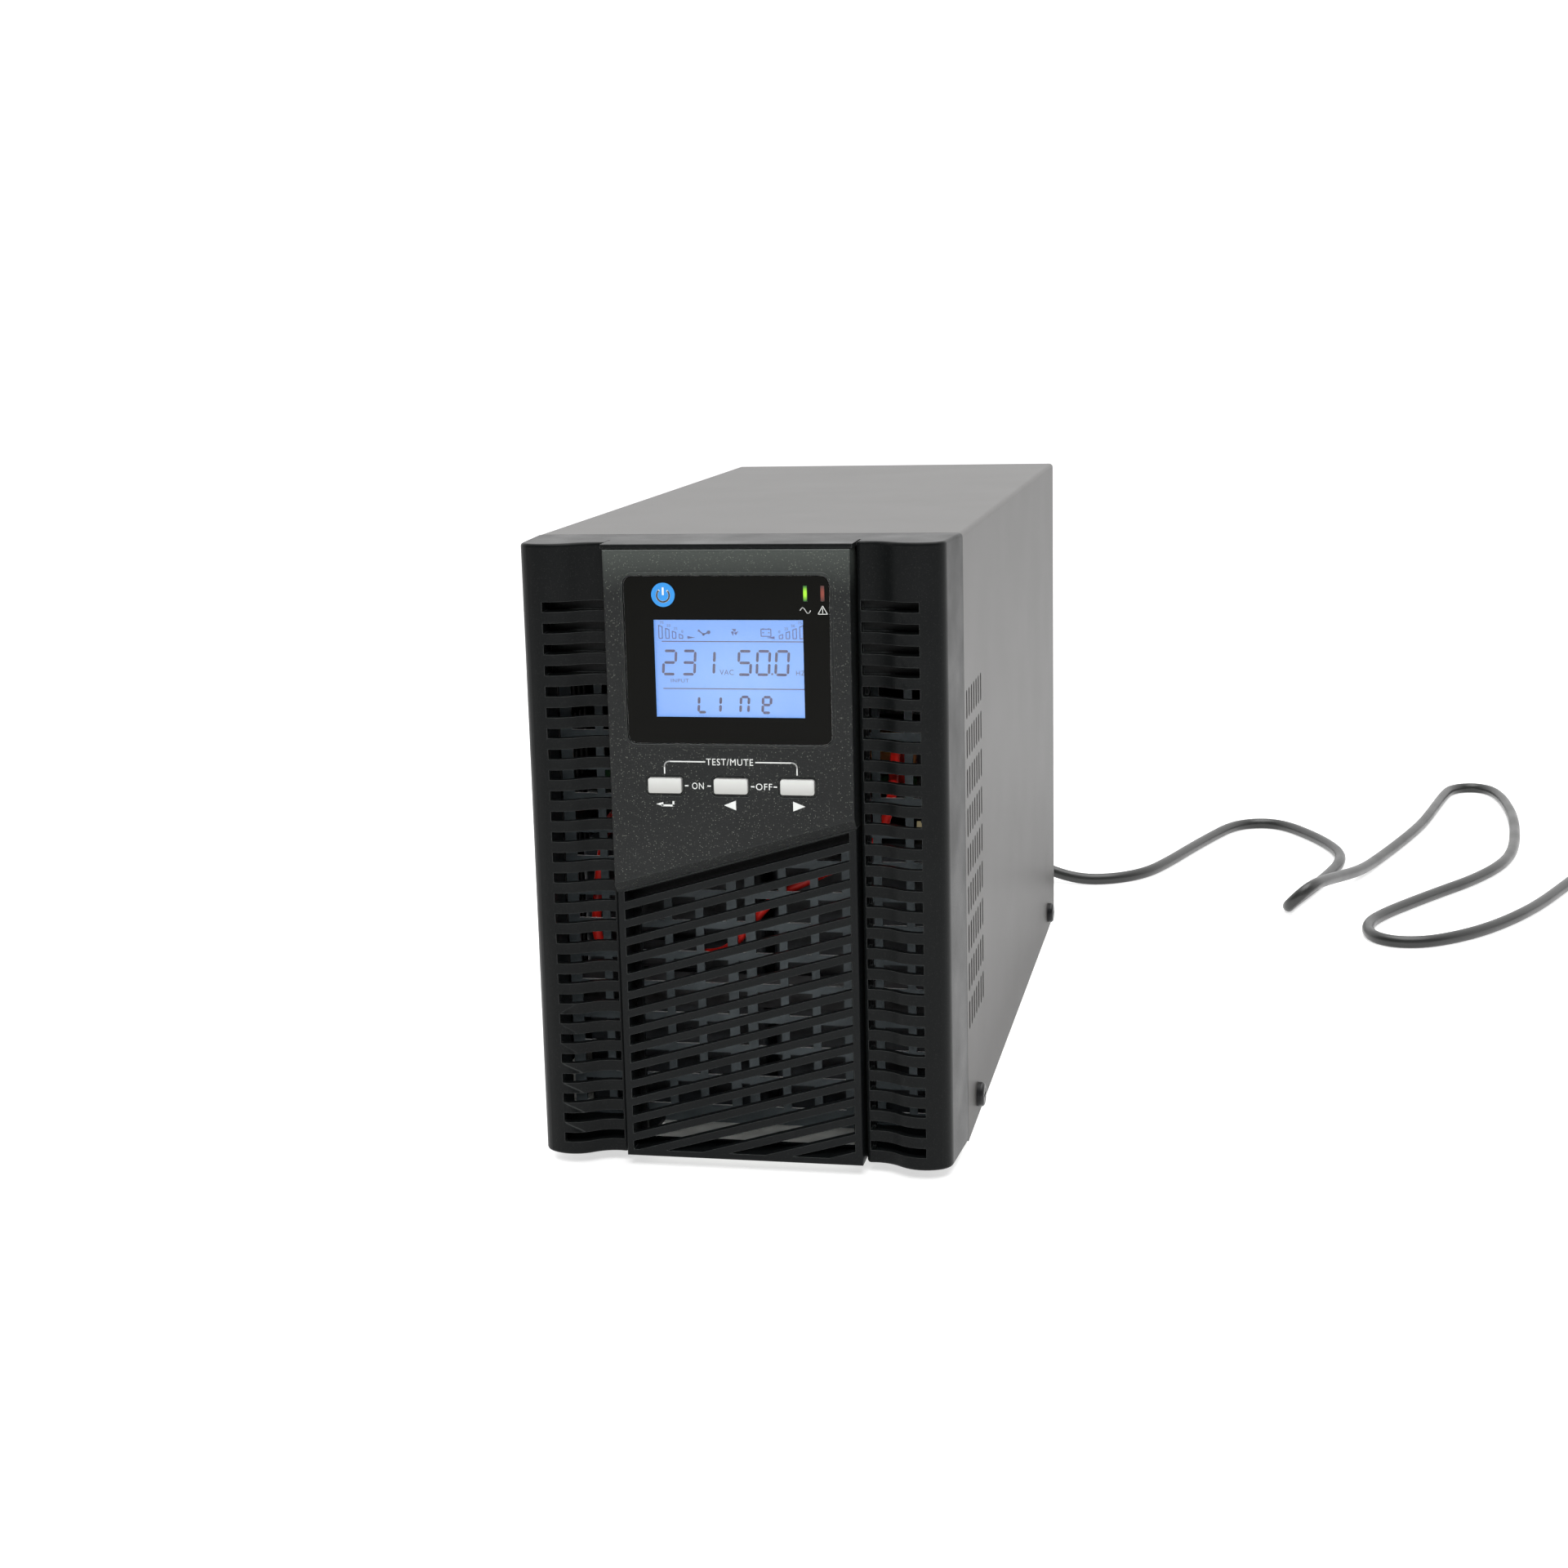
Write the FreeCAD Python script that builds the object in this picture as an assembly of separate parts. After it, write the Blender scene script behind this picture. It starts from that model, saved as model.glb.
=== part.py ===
import FreeCAD, Part
import math
import os

# A tower uninterruptible power supply for a desk or floor: steel chassis and wrap-round cover, moulded front
# with two wavy slotted columns, a control panel with a liquid-crystal display and three push buttons, a slanted
# grille, sealed batteries below the power electronics, and a rear panel with fan, outlets, ports and mains lead.
#
# Build coordinates, in millimetres: x to the right seen from the front, y is the depth behind the face of the
# control panel, z is the height above the underside of the chassis. save() moves every piece from there to the
# part's own frame, whose origin is the middle of the box that the unit fills, on the surface under the feet.

Vector = FreeCAD.Vector
AXIS_X = Vector(1, 0, 0)
AXIS_Y = Vector(0, 1, 0)
AXIS_Z = Vector(0, 0, 1)
SIDES = (-1, 1)

# ---------------------------------------------------------------- driving dimensions
BODY_W = 144.0
BODY_H = 208.0
BODY_D = 345.0
FOOT_H = 6.0
FRONT_PROUD = 0.8
REAR_PROUD = 9.0
HALF_W = BODY_W / 2
FLOOR_Z = -FOOT_H
FRAME_SHIFT = Vector(0, -(BODY_D + REAR_PROUD - FRONT_PROUD) / 2, FOOT_H)

STEEL = 1.0
WALL = 2.4
GAP = 0.3
SEAM = 0.5
PCB_T = 1.6

# ---------------------------------------------------------------- front bezel
BEZEL_D = 33.0
BEZEL_BACK_LIP = 5.0
LIP_T = 1.6
INSERT_W = 81.0
WELL_X = INSERT_W / 2 + 0.7
WELL_Y = 14.0
VALLEY = (44.4, 7.8)
CREST = (60.4, 2.2)
SIDE_DRAFT = -2.5
CORNER_R = 6.5
LIP_R = 1.3
EDGE_ROUND = 1.1
TOP_LIP_Y = 0.6
TOP_LIP_T = 1.4

SLOTS = 27
CLOSED_SLOTS = 4
SLOT_PITCH = 6.97
SLOT_H = 3.3
SLOT_TOP = 189.1
SLOT_X = (42.5, 62.0)
SLOT_BACK = 12.6
WELL_HOLE_HALF = 36.0
DISPLAY_HOLE_Z = (121.0, 200.0)
GRILLE_HOLE_LOW = 3.0
GRILLE_HOLE_TOP = (86.0, 107.0)
POCKET_BACK = 11.0
POCKET_WALL = 1.4
POCKET_RIM = 2.0

# ---------------------------------------------------------------- control panel and grille
INSERT_BACK = 13.5
PANEL_TOP = BODY_H - TOP_LIP_T - GAP
DIAGONAL_LOW = 92.4
DIAGONAL_RISE = 23.1
PANEL_STEP_H = 3.6
GRILLE_Y = 3.2
PANEL_ROUND = 0.7
PANEL_T = 2.4

WINDOW_W = 67.6
WINDOW_H = 54.8
WINDOW_Z = 170.6
WINDOW_ROUND = 3.0
WINDOW_T = 1.5
WINDOW_SINK = 0.3
RIM_W = 1.0
RIM_PROUD = 0.4
RIM_ROUND = 0.35
WINDOW_LEDGE = 1.2

DISPLAY_W = 49.0
DISPLAY_H = 31.6
DISPLAY_X = 0.5
DISPLAY_Z = 167.9
DISPLAY_FRAME_RIM = 3.0
DISPLAY_GLASS_RIM = 1.0
DISPLAY_FRAME_Y = 4.6
DISPLAY_GLASS_Y = 3.4

PIPE_W = 1.6
PIPE_H = 4.9
PIPE_X = (25.9, 31.5)
PIPE_Z = 192.2
LAMP_SPREAD = 1.4
LAMP_DEPTH = 2.0

BUTTON_W = 11.2
BUTTON_H = 5.1
BUTTON_PITCH = 22.0
BUTTON_Z = 129.4
BUTTON_ROUND = 0.8
BUTTON_GAP = 0.35
BUTTON_FLANGE = 1.2
BUTTON_FLANGE_T = 1.0
STEM_R = 2.2
DISH_W = 13.4
DISH_H = 7.3
DISH_DEPTH = 0.5

BOARD_Y = 11.0
BOARD_HALF = 35.0
BOARD_Z = (122.0, 199.0)
BOARD_HOLE_INSET = (3.5, 4.0)
BOARD_HOLE_R = 1.6
SWITCH_SIZE = 6.0
SWITCH_Y = 7.6
PLUNGER_R = 1.7
PLUNGER_FIT = 0.06
PLUNGER_Y = (6.2, 8.6)
SWITCH_BORE_Y = 9.8

BAR_PITCH = 6.2
BAR_SLOT = 3.55
BAR_DEPTH = 3.0
GRILLE_SIDE = 2.4
GRILLE_FOOT = 2.3
GRILLE_TOP_RIM = 0.6
GRILLE_BASE_Z = 0.4

# ---------------------------------------------------------------- sheet metal
PLATE_Y = 38.5
PLATE_TOP = BODY_H - 14.0
PLATE_HOLE = 8.3
PLATE_PITCH = 11.1
PLATE_ROWS = 16
PLATE_FIRST_Z = 7.3
PLATE_LEFT_X = -15.9
PLATE_LEFT_COLUMNS = 5
PLATE_RIGHT_X = 2.45
PLATE_RIGHT_COLUMNS = 6
PLATE_MIDDLE_X = -6.7
PLATE_MIDDLE_W = 3.0
PLATE_FLANGE = 11.0
TONGUE_HALF = 35.5
PAN_SLOTS = 6
PAN_SLOT_Y = 228.0
PAN_SLOT_PITCH = 12.0
PAN_SLOT_HALF = 40.0
PAN_SLOT_W = 4.0
BASE_FLANGE_H = 20.0
COVER_ROUND = 1.6
COVER_Y = BEZEL_D + SEAM

VENT_ROWS = 9
VENT_COLUMNS = 7
VENT_PITCH_Y = 6.25
VENT_PITCH_Z = 13.4
VENT_W = 2.6
VENT_H = 10.0
VENT_FIRST_Y = 39.9
VENT_TOP_Z = 150.2

SCREW_HEAD_R = 4.3
SCREW_HEAD_H = 2.5
SCREW_R = 2.0
SCREW_LENGTH = 5.0
SCREW_Z = 8.0
SCREW_Y = (60.0, 317.0)
CROSS_W = 1.1
CROSS_SPAN = 4.6
CROSS_DEPTH = 1.3

FOOT_R = 8.0
FOOT_TIP_R = 7.0
FOOT_X = 52.0
FOOT_Y = (64.0, 318.0)

# ---------------------------------------------------------------- batteries and electronics
BATTERY_W = 65.0
BATTERY_L = 151.0
BATTERY_H = 94.0
BATTERY_LID_H = 4.0
BATTERY_X = 34.0
BATTERY_Y = 52.0
BATTERY_Z = STEEL
BATTERY_ROUND = 2.0
LID_INSET = 2.0
STRAP_Z = (40.0, 52.0)
STRAP_Y = (-2.0, -0.4)
STRAP_T = 1.2
STRAP_LEG_Y = 12.0
STRAP_REACH = 30.0
TAB_W = 6.3
TAB_T = 0.8
TAB_H = 6.5
TAB_X = (12.0, 53.0)
TAB_Y = 10.0

SHELF_Z = 110.0
SHELF_Y = (48.0, 296.0)
SHELF_FLANGE = 8.0
MAIN_BOARD_Z = 117.0
MAIN_BOARD_W = 128.0
MAIN_BOARD_Y = (54.0, 290.0)
STANDOFF_R = 3.0
STANDOFF_INSET = 6.0
STANDOFF_Y = (76.0, 172.0, 284.0)
SHELF_INSET = 6.0

FUSE_X = (-50.0, -24.0)
FUSE_Y = 45.0
FUSE_Z = 60.0
FUSE_R = 4.6
LEAD_R = 1.7
BEND_SHARE = 0.45

HEATSINK_Y = (110.0, 250.0)
HEATSINK_H = 62.0
HEATSINK_X = 24.0
HEATSINK_WEB = 4.0
HEATSINK_FINS = 6
FIN_PITCH = 10.0
FIN_FIRST = 6.0
FIN_T = 1.6
FIN_REACH = 20.0
TRANSISTORS = 5
TRANSISTOR_PITCH = 25.0
TRANSISTOR_SIZE = (4.8, 15.6, 20.0)
TRANSISTOR_FIRST = 16.0
TRANSISTOR_Z = 6.0
CAPACITOR_Y = (128.0, 160.0, 192.0)
CAPACITOR_R = 12.5
CAPACITOR_H = 45.0
INDUCTOR_AT = ((-44.0, 88.0), (44.0, 88.0), (0.0, 266.0))
INDUCTOR_R = 12.0
INDUCTOR_WIRE_R = 7.0
CORE_HALF = 22.0
CORE_Y = (74.0, 92.0)
CORE_H = 36.0
CORE_WINDOW_X = (6.0, 15.0)
CORE_WINDOW_Z = (7.0, 29.0)
BOBBIN_HALF = 14.6
BOBBIN_Y = (68.0, 98.0)
BOBBIN_FIT = 0.4
RELAY_X = (-56.0, -38.0, 20.0, 38.0)
RELAY_Y = 262.0
RELAY_SIZE = (15.5, 19.0, 15.8)
RIBBON_W = 16.0
RIBBON_T = 1.0
RIBBON_LOW_Z = 180.0
RIBBON_DOWN_Y = 50.0
RIBBON_FOOT_Z = 126.0
RIBBON_FOOT_Y = (56.0, 64.0)

FAN_SIZE = 80.0
FAN_DEPTH = 25.0
FAN_BORE_R = 38.0
FAN_HOLES = 71.5
FAN_CENTRE = (-25.0, 158.0)
FAN_HUB_R = 17.0
FAN_BLADES = 7
FAN_BLADE_R = 36.6
FAN_SHAFT_R = 1.5
FAN_SHAFT_FIT = 0.06
FAN_BLADE_PITCH = 38.0
GUARD_WIRE = 1.8
GUARD_EYE_R = 3.6
GUARD_RINGS = (12.0, 20.0, 28.0, 36.0)
GUARD_RELIEF = 0.4
STRUT_TURNS = (45.0, 135.0)
STRUT_W = 3.0
FAN_CORNER = 4.0
FAN_EAR = 4.0
FAN_DUCT_T = 1.5
FAN_BOSS_R = 4.0
FAN_BOSS_L = 14.0
FAN_BORE_L = 20.0
BLADE_T = 1.4
BLADE_ROOT = 1.5
ROTOR_START = 4.5
ROTOR_END = 2.0
SHAFT_START = 3.0
SHAFT_SETBACK = 4.0
HUB_WALL = 2.0
FAN_HEAD_R = 3.4
FAN_HEAD_H = 2.0
FAN_SLOT_W = 1.0
FAN_SLOT_Y = 1.2
FAN_SCREW_PAST = 6.0

# ---------------------------------------------------------------- rear panel fittings
OUTLET_X = (-47.0, -11.0, 25.0)
OUTLET_Z = 72.0
OUTLET_FLANGE = (31.5, 25.0)
OUTLET_BODY = (27.0, 20.0)
OUTLET_PROUD = 2.6
OUTLET_DEPTH = 22.0
OUTLET_WELL = (25.2, 17.8)
OUTLET_CORE = (19.8, 12.4)
OUTLET_WELL_DEPTH = 14.0
OUTLET_SLOT = (2.2, 4.4)
OUTLET_SLOT_AT = ((-7.0, -2.0), (7.0, -2.0), (0.0, 2.0))
OUTLET_CORE_SINK = 0.8
OUTLET_CORNER = 5.0

BREAKER_X = 54.0
BREAKER_Z = 72.0
BREAKER_CASE = (15.0, 30.0)
BREAKER_DEPTH = 30.0
BREAKER_NECK_R = 5.5
BREAKER_NECK_L = 7.0
BREAKER_NUT_R = 8.0
BREAKER_NUT_T = 3.0
BREAKER_BORE_R = 3.6
BREAKER_BORE_DEPTH = 14.0
RESET_R = 3.3
RESET_DEPTH = 8.0

PORT_Z = 104.0
SERIAL_X = -44.0
SERIAL_FLANGE = (30.8, 12.5)
SERIAL_SHELL = (8.4, 7.2, 4.2)
SERIAL_SHELL_L = 6.0
SERIAL_BODY = (19.0, 10.6)
SERIAL_DEPTH = 11.0
SERIAL_ROWS = ((1.4, 5), (-1.4, 4))
SERIAL_PITCH = 2.77
SERIAL_HOLE_R = 0.55
SERIAL_POST_X = 12.5
SERIAL_POST_R = 2.4
SERIAL_POST_L = 4.5

USB_X = -8.0
USB_SHELL = (12.0, 11.0)
USB_DEPTH = 14.0
USB_PROUD = 0.6
USB_HALF = (4.2, 3.9)
USB_CHAMFER = 1.6
USB_WELL = 10.0
USB_TONGUE = (2.8, 1.6)

JACK_X = 32.0
JACK_BLOCK = (30.6, 13.0)
JACK_DEPTH = 14.0
JACK_OFFSET = 7.6
JACK_WELL = 11.0
JACK_HALF = 5.85
JACK_Z = (-2.2, 4.6)
JACK_KEY_HALF = 3.0
JACK_KEY_Z = (-4.4, -2.0)

SLOT_COVER = (38.0, 78.0)
SLOT_COVER_X = 44.0
SLOT_COVER_Z = 160.0
SLOT_COVER_T = 1.2
SLOT_COVER_LAP = (8.0, 20.0)
SLOT_SCREW_INSET = 5.0
THUMB_R = 4.4
THUMB_H = 4.5
THUMB_FLUTES = 12
THUMB_FLUTE_R = 0.75
THUMB_FLUTE_AT = 4.8
THUMB_SLOT_Z = 3.3
THUMB_SHANK = 7.0

PORT_FIT = 0.2
REAR_FLANGE = 10.0
REAR_FIT = 0.2

# ---------------------------------------------------------------- mains lead
CORD_X = 24.0
CORD_Z = 34.0
CORD_D = 5.5
CORD_R = CORD_D / 2
CORD_FLOOR = FLOOR_Z + CORD_R
RELIEF_LENGTH = 34.0
RELIEF_R = (6.4, 3.6)
RELIEF_GROOVES = 5
COIL_TURN_R = 30.0
COIL_CENTRE = (380.0, 540.0)
COIL_LAYERS = 2
TIE_W = 8.0
TIE_T = 0.8
PLUG_R = 18.6
PLUG_X = COIL_CENTRE[0] + COIL_TURN_R + 2.0
PLUG_Z = FLOOR_Z + PLUG_R
PLUG_FACE_Y = 426.0
PLUG_HEAD = 14.0
PLUG_GRIP = 20.0
PLUG_TAPER = 24.0
PLUG_GRIP_R = 11.0
PIN_R = 2.4
PIN_LENGTH = 19.0
PIN_SPACING = 19.0
COLLAR_PROUD = 2.0
COLLAR_T = 3.0
GROOVE_FIRST = 8.0
GROOVE_PITCH = 5.0
GROOVE_W = 2.0
EARTH_W = 4.0
EARTH_T = 1.2
EARTH_SINK = 2.0
FLAT_HALF = 2.8
FLAT_H = 6.0


def block(low, high):
    """A box between two opposite corners."""
    size = Vector(*high) - Vector(*low)
    return Part.makeBox(size.x, size.y, size.z, Vector(*low))


def rod(start, axis, radius, length):
    """A cylinder that starts at a point and runs along an axis."""
    return Part.makeCylinder(radius, length, Vector(*start), axis)


def soft_block(low, high, radius, axis):
    """A box whose four edges along one axis are rounded."""
    box = block(low, high)
    along = [e for e in box.Edges if abs(e.tangentAt(e.FirstParameter).dot(axis)) > 0.99]
    return box.makeFillet(radius, along)


def plate_y(centre, size, radius, y0, y1):
    """A plate that faces front, with rounded corners, from depth y0 to depth y1."""
    x, z = centre
    w, h = size
    return soft_block((x - w / 2, y0, z - h / 2), (x + w / 2, y1, z + h / 2), radius, AXIS_Y)


def prism_y(points, y0, y1):
    """An upright outline in x and z, extruded from depth y0 to depth y1."""
    corners = [Vector(x, y0, z) for x, z in points]
    face = Part.Face(Part.makePolygon(corners + corners[:1]))
    return face.extrude(Vector(0, y1 - y0, 0))


def arc(a, b, c):
    """The edge of a circular arc through three points."""
    return Part.Arc(a, b, c).toShape()


def fuse(shapes):
    """One solid from several that touch or overlap."""
    joined = shapes[0].multiFuse(shapes[1:]) if len(shapes) > 1 else shapes[0]
    return joined.removeSplitter()


def both_sides(shape):
    """A shape and its mirror image in the middle plane."""
    return [shape, shape.mirror(Vector(0, 0, 0), AXIS_X)]


def save(node, shape):
    """Moves a piece, or a list of separate pieces, into the part's frame and writes its file."""
    solids = shape if isinstance(shape, list) else [shape]
    moved = []
    for piece in solids:
        placed = piece.copy()
        placed.translate(FRAME_SHIFT)
        moved.extend(placed.Solids)
    whole = moved[0] if len(moved) == 1 else Part.makeCompound(moved)
    whole.exportStep("parts/" + node + ".step")
    print(node, len(moved), "solid(s),", round(whole.Volume, 1), "mm3, valid", whole.isValid())


# ================================================================ front bezel


def tangent_turn(start, end, centre):
    """The shorter arc about a centre from one point to another."""
    middle = ((start - centre) + (end - centre)).normalize() * (start - centre).Length
    return arc(start, centre + middle, end)


def bezel_plan(back):
    """Plan of the bezel: two wavy columns with rounded outer corners and a well for the inserts between them."""
    span = CREST[0] - VALLEY[0]
    depth = VALLEY[1] - CREST[1]
    wave_r = (span**2 + depth**2) / (4 * depth)
    crest_c = Vector(CREST[0], CREST[1] + wave_r, 0)
    valley_c = Vector(VALLEY[0], VALLEY[1] - wave_r, 0)
    middle = (crest_c + valley_c) / 2
    lip_x = WELL_X + LIP_R
    lip_c = Vector(lip_x, valley_c.y + math.sqrt((wave_r + LIP_R) ** 2 - (lip_x - valley_c.x) ** 2), 0)
    lip_start = valley_c + (lip_c - valley_c) * (wave_r / (wave_r + LIP_R))
    lip_end = Vector(WELL_X, lip_c.y, 0)
    corner = Vector(HALF_W, BEZEL_D, 0)
    draft = Vector(SIDE_DRAFT, -BEZEL_D, 0).normalize()
    inward = Vector(-draft.y, draft.x, 0) * -1
    if inward.x > 0:
        inward = inward * -1
    base = corner + inward * CORNER_R - crest_c
    along = base.dot(draft)
    reach = wave_r - CORNER_R
    run = -along + math.sqrt(along**2 - base.dot(base) + reach**2)
    corner_c = crest_c + base + draft * run
    side_start = corner_c - inward * CORNER_R
    crest_end = crest_c + (corner_c - crest_c) * (wave_r / reach)
    well = Vector(WELL_X, WELL_Y, 0)
    right = [
        Part.LineSegment(corner, side_start).toShape(),
        tangent_turn(side_start, crest_end, corner_c),
        tangent_turn(crest_end, middle, crest_c),
        tangent_turn(middle, lip_start, valley_c),
        tangent_turn(lip_start, lip_end, lip_c),
        Part.LineSegment(lip_end, well).toShape(),
        Part.LineSegment(well, Vector(0, WELL_Y, 0)).toShape(),
    ]
    if back > BEZEL_D:
        right.append(Part.LineSegment(Vector(HALF_W, back, 0), corner).toShape())
    left = [e.mirror(Vector(0, 0, 0), AXIS_X) for e in right]
    rear = Part.LineSegment(Vector(HALF_W, back, 0), Vector(-HALF_W, back, 0)).toShape()
    return Part.Face(Part.Wire(Part.__sortEdges__(right + left + [rear])))


def slot_bottom(number):
    """Height of the lower edge of a column slot, counted from the top."""
    return SLOT_TOP - SLOT_H - number * SLOT_PITCH


def column_slots():
    """The cutters for the slots of both columns: the upper ones are pockets, the rest go right through."""
    cutters = []
    for number in range(SLOTS):
        depth = POCKET_BACK if number < CLOSED_SLOTS else SLOT_BACK
        low = slot_bottom(number)
        cutters += both_sides(block((SLOT_X[0], 0, low), (SLOT_X[1], depth, low + SLOT_H)))
    return cutters


def front_bezel():
    """The moulded frame: a shell open at the back, with slotted columns and openings behind both inserts."""
    outer = bezel_plan(BEZEL_D).extrude(Vector(0, 0, BODY_H))
    rims = [e for e in outer.Edges if abs(e.BoundBox.ZLength) < GAP and e.BoundBox.YMin < WELL_Y - 1]
    rims = [e for e in rims if e.BoundBox.YMax < BEZEL_D - 1 or e.BoundBox.XLength < WALL]
    shell = outer.makeFillet(EDGE_ROUND, rims)
    cavity_plan = bezel_plan(BEZEL_D + 2 * WALL).makeOffset2D(-WALL)
    cavity = cavity_plan.extrude(Vector(0, 0, BODY_H - 2 * WALL))
    cavity.translate(Vector(0, 0, WALL))
    shell = shell.cut(cavity)
    pocket_low = slot_bottom(CLOSED_SLOTS - 1) - POCKET_RIM
    pocket_high = SLOT_TOP + POCKET_RIM
    pocket = block((WELL_X, 0, pocket_low), (SLOT_X[1] + WALL, POCKET_BACK + POCKET_WALL, pocket_high))
    linings = [p.common(outer) for p in both_sides(pocket)]
    top_lip = block((-WELL_X - WALL, TOP_LIP_Y, BODY_H - TOP_LIP_T), (WELL_X + WALL, WELL_Y + WALL, BODY_H))
    lip_edges = [e for e in top_lip.Edges if e.BoundBox.YMax < TOP_LIP_Y + GAP]
    front_edge = [e for e in lip_edges if e.BoundBox.ZMin > BODY_H - GAP]
    top_lip = top_lip.makeFillet(EDGE_ROUND / 2, front_edge).common(
        block((-WELL_X - 0.01, 0, 0), (WELL_X + 0.01, BEZEL_D, BODY_H))
    )
    ring_x = HALF_W - STEEL - GAP
    ring_z = (STEEL + GAP, BODY_H - STEEL - GAP)
    ring_y = (BEZEL_D - BEZEL_BACK_LIP, BEZEL_D + BEZEL_BACK_LIP)
    ring = block((-ring_x, ring_y[0], ring_z[0]), (ring_x, ring_y[1], ring_z[1])).cut(
        block(
            (-ring_x + LIP_T, ring_y[0] - 1, ring_z[0] + LIP_T),
            (ring_x - LIP_T, ring_y[1] + 1, ring_z[1] - LIP_T),
        )
    )
    shell = fuse([shell, top_lip, ring] + linings)
    side = WELL_HOLE_HALF
    low, high = DISPLAY_HOLE_Z
    display_hole = block((-side, WELL_Y - 1, low), (side, WELL_Y + 2 * WALL, high))
    left_top, right_top = GRILLE_HOLE_TOP
    outline = [(-side, GRILLE_HOLE_LOW), (side, GRILLE_HOLE_LOW), (side, right_top), (-side, left_top)]
    grille_hole = prism_y(outline, WELL_Y - 1, WELL_Y + 2 * WALL)
    floor_hole = block((-side, WELL_Y + WALL, -1), (side, ring_y[1] + 1, GRILLE_HOLE_LOW))
    return shell.cut([display_hole, grille_hole, floor_hole] + column_slots())


# ================================================================ control panel and grille


def diagonal(x, lift=0.0):
    """Height of the slanted joint between panel and grille at a place across the front."""
    return DIAGONAL_LOW + DIAGONAL_RISE * (x + INSERT_W / 2) / INSERT_W + lift


def button_places():
    """Middle of each button, from left to right."""
    return [(-BUTTON_PITCH, BUTTON_Z), (0.0, BUTTON_Z), (BUTTON_PITCH, BUTTON_Z)]


def control_panel():
    """The upper insert: a shell with a slanted foot, a rimmed recess for the window and three button holes."""
    half = INSERT_W / 2
    outline = [(-half, diagonal(-half)), (half, diagonal(half)), (half, PANEL_TOP), (-half, PANEL_TOP)]
    outer = prism_y(outline, 0, INSERT_BACK)
    slope = Vector(INSERT_W, 0, DIAGONAL_RISE).normalize()
    wedge_corners = [
        Vector(-INSERT_W, -GRILLE_Y * 0.01, diagonal(-INSERT_W, PANEL_STEP_H)),
        Vector(-INSERT_W, GRILLE_Y, diagonal(-INSERT_W)),
        Vector(-INSERT_W, -GRILLE_Y, diagonal(-INSERT_W)),
    ]
    wedge = Part.Face(Part.makePolygon(wedge_corners + wedge_corners[:1]))
    wedge = wedge.extrude(slope * (2 * INSERT_W / slope.x))
    shell = outer.cut(wedge)
    rounds = [e for e in shell.Edges if e.BoundBox.YMax < GAP and abs(e.BoundBox.XLength) < GAP]
    rounds += [e for e in shell.Edges if e.BoundBox.YMax < GAP and e.BoundBox.ZMin > PANEL_TOP - GAP]
    shell = shell.makeFillet(PANEL_ROUND, rounds)
    inner = half - PANEL_T
    cavity_outline = [
        (-inner, diagonal(-inner, PANEL_STEP_H + 1)),
        (inner, diagonal(inner, PANEL_STEP_H + 1)),
        (inner, PANEL_TOP - PANEL_T),
        (-inner, PANEL_TOP - PANEL_T),
    ]
    shell = shell.cut(prism_y(cavity_outline, PANEL_T, INSERT_BACK + 1))
    centre = (0, WINDOW_Z)
    rim_size = (WINDOW_W + 2 * RIM_W, WINDOW_H + 2 * RIM_W)
    rim = plate_y(centre, rim_size, WINDOW_ROUND + RIM_W, -RIM_PROUD, PANEL_T)
    rim = rim.makeFillet(RIM_ROUND, [e for e in rim.Edges if e.BoundBox.YMax < 0])
    recess_size = (WINDOW_W + GAP, WINDOW_H + GAP)
    recess = plate_y(centre, recess_size, WINDOW_ROUND, -1, WINDOW_SINK + WINDOW_T)
    through_size = (WINDOW_W - 2 * WINDOW_LEDGE, WINDOW_H - 2 * WINDOW_LEDGE)
    through = plate_y(centre, through_size, 1.0, -1, PANEL_T + 1)
    shell = fuse([shell, rim])
    cutters = [recess, through]
    hole = (BUTTON_W + 2 * BUTTON_GAP, BUTTON_H + 2 * BUTTON_GAP)
    for place in button_places():
        cutters.append(plate_y(place, (DISH_W, DISH_H), BUTTON_ROUND + 1, -1, DISH_DEPTH))
        cutters.append(plate_y(place, hole, BUTTON_ROUND + BUTTON_GAP, -1, PANEL_T + 1))
    return shell.cut(cutters)


def lcd_window():
    """The flat window over the display, with two small slots for the light pipes."""
    y0 = WINDOW_SINK
    window = plate_y((0, WINDOW_Z), (WINDOW_W, WINDOW_H), WINDOW_ROUND - 0.15, y0, y0 + WINDOW_T)
    slots = []
    for x in PIPE_X:
        slots.append(plate_y((x, PIPE_Z), (PIPE_W, PIPE_H), 0.3, y0 - 1, y0 + WINDOW_T + 1))
    return window.cut(slots)


def light_pipe(x):
    """A clear bar that carries the light of one lamp from the board to the window's face."""
    lamp_y = BOARD_Y - LAMP_DEPTH
    bar = plate_y((x, PIPE_Z), (PIPE_W, PIPE_H), 0.3, WINDOW_SINK, lamp_y)
    lamp_end = plate_y((x, PIPE_Z), (PIPE_W + LAMP_SPREAD, PIPE_H), 0.4, lamp_y, BOARD_Y)
    return fuse([bar, lamp_end])


def lcd_module():
    """The display: glass with its backlight in a shallow frame, soldered to the board."""
    centre = (DISPLAY_X, DISPLAY_Z)
    frame_size = (DISPLAY_W + 2 * DISPLAY_FRAME_RIM, DISPLAY_H + 2 * DISPLAY_FRAME_RIM)
    glass_size = (DISPLAY_W + 2 * DISPLAY_GLASS_RIM, DISPLAY_H + 2 * DISPLAY_GLASS_RIM)
    frame = plate_y(centre, frame_size, 0.8, DISPLAY_FRAME_Y, BOARD_Y)
    return fuse([frame, plate_y(centre, glass_size, 0.4, DISPLAY_GLASS_Y, DISPLAY_FRAME_Y)])


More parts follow.
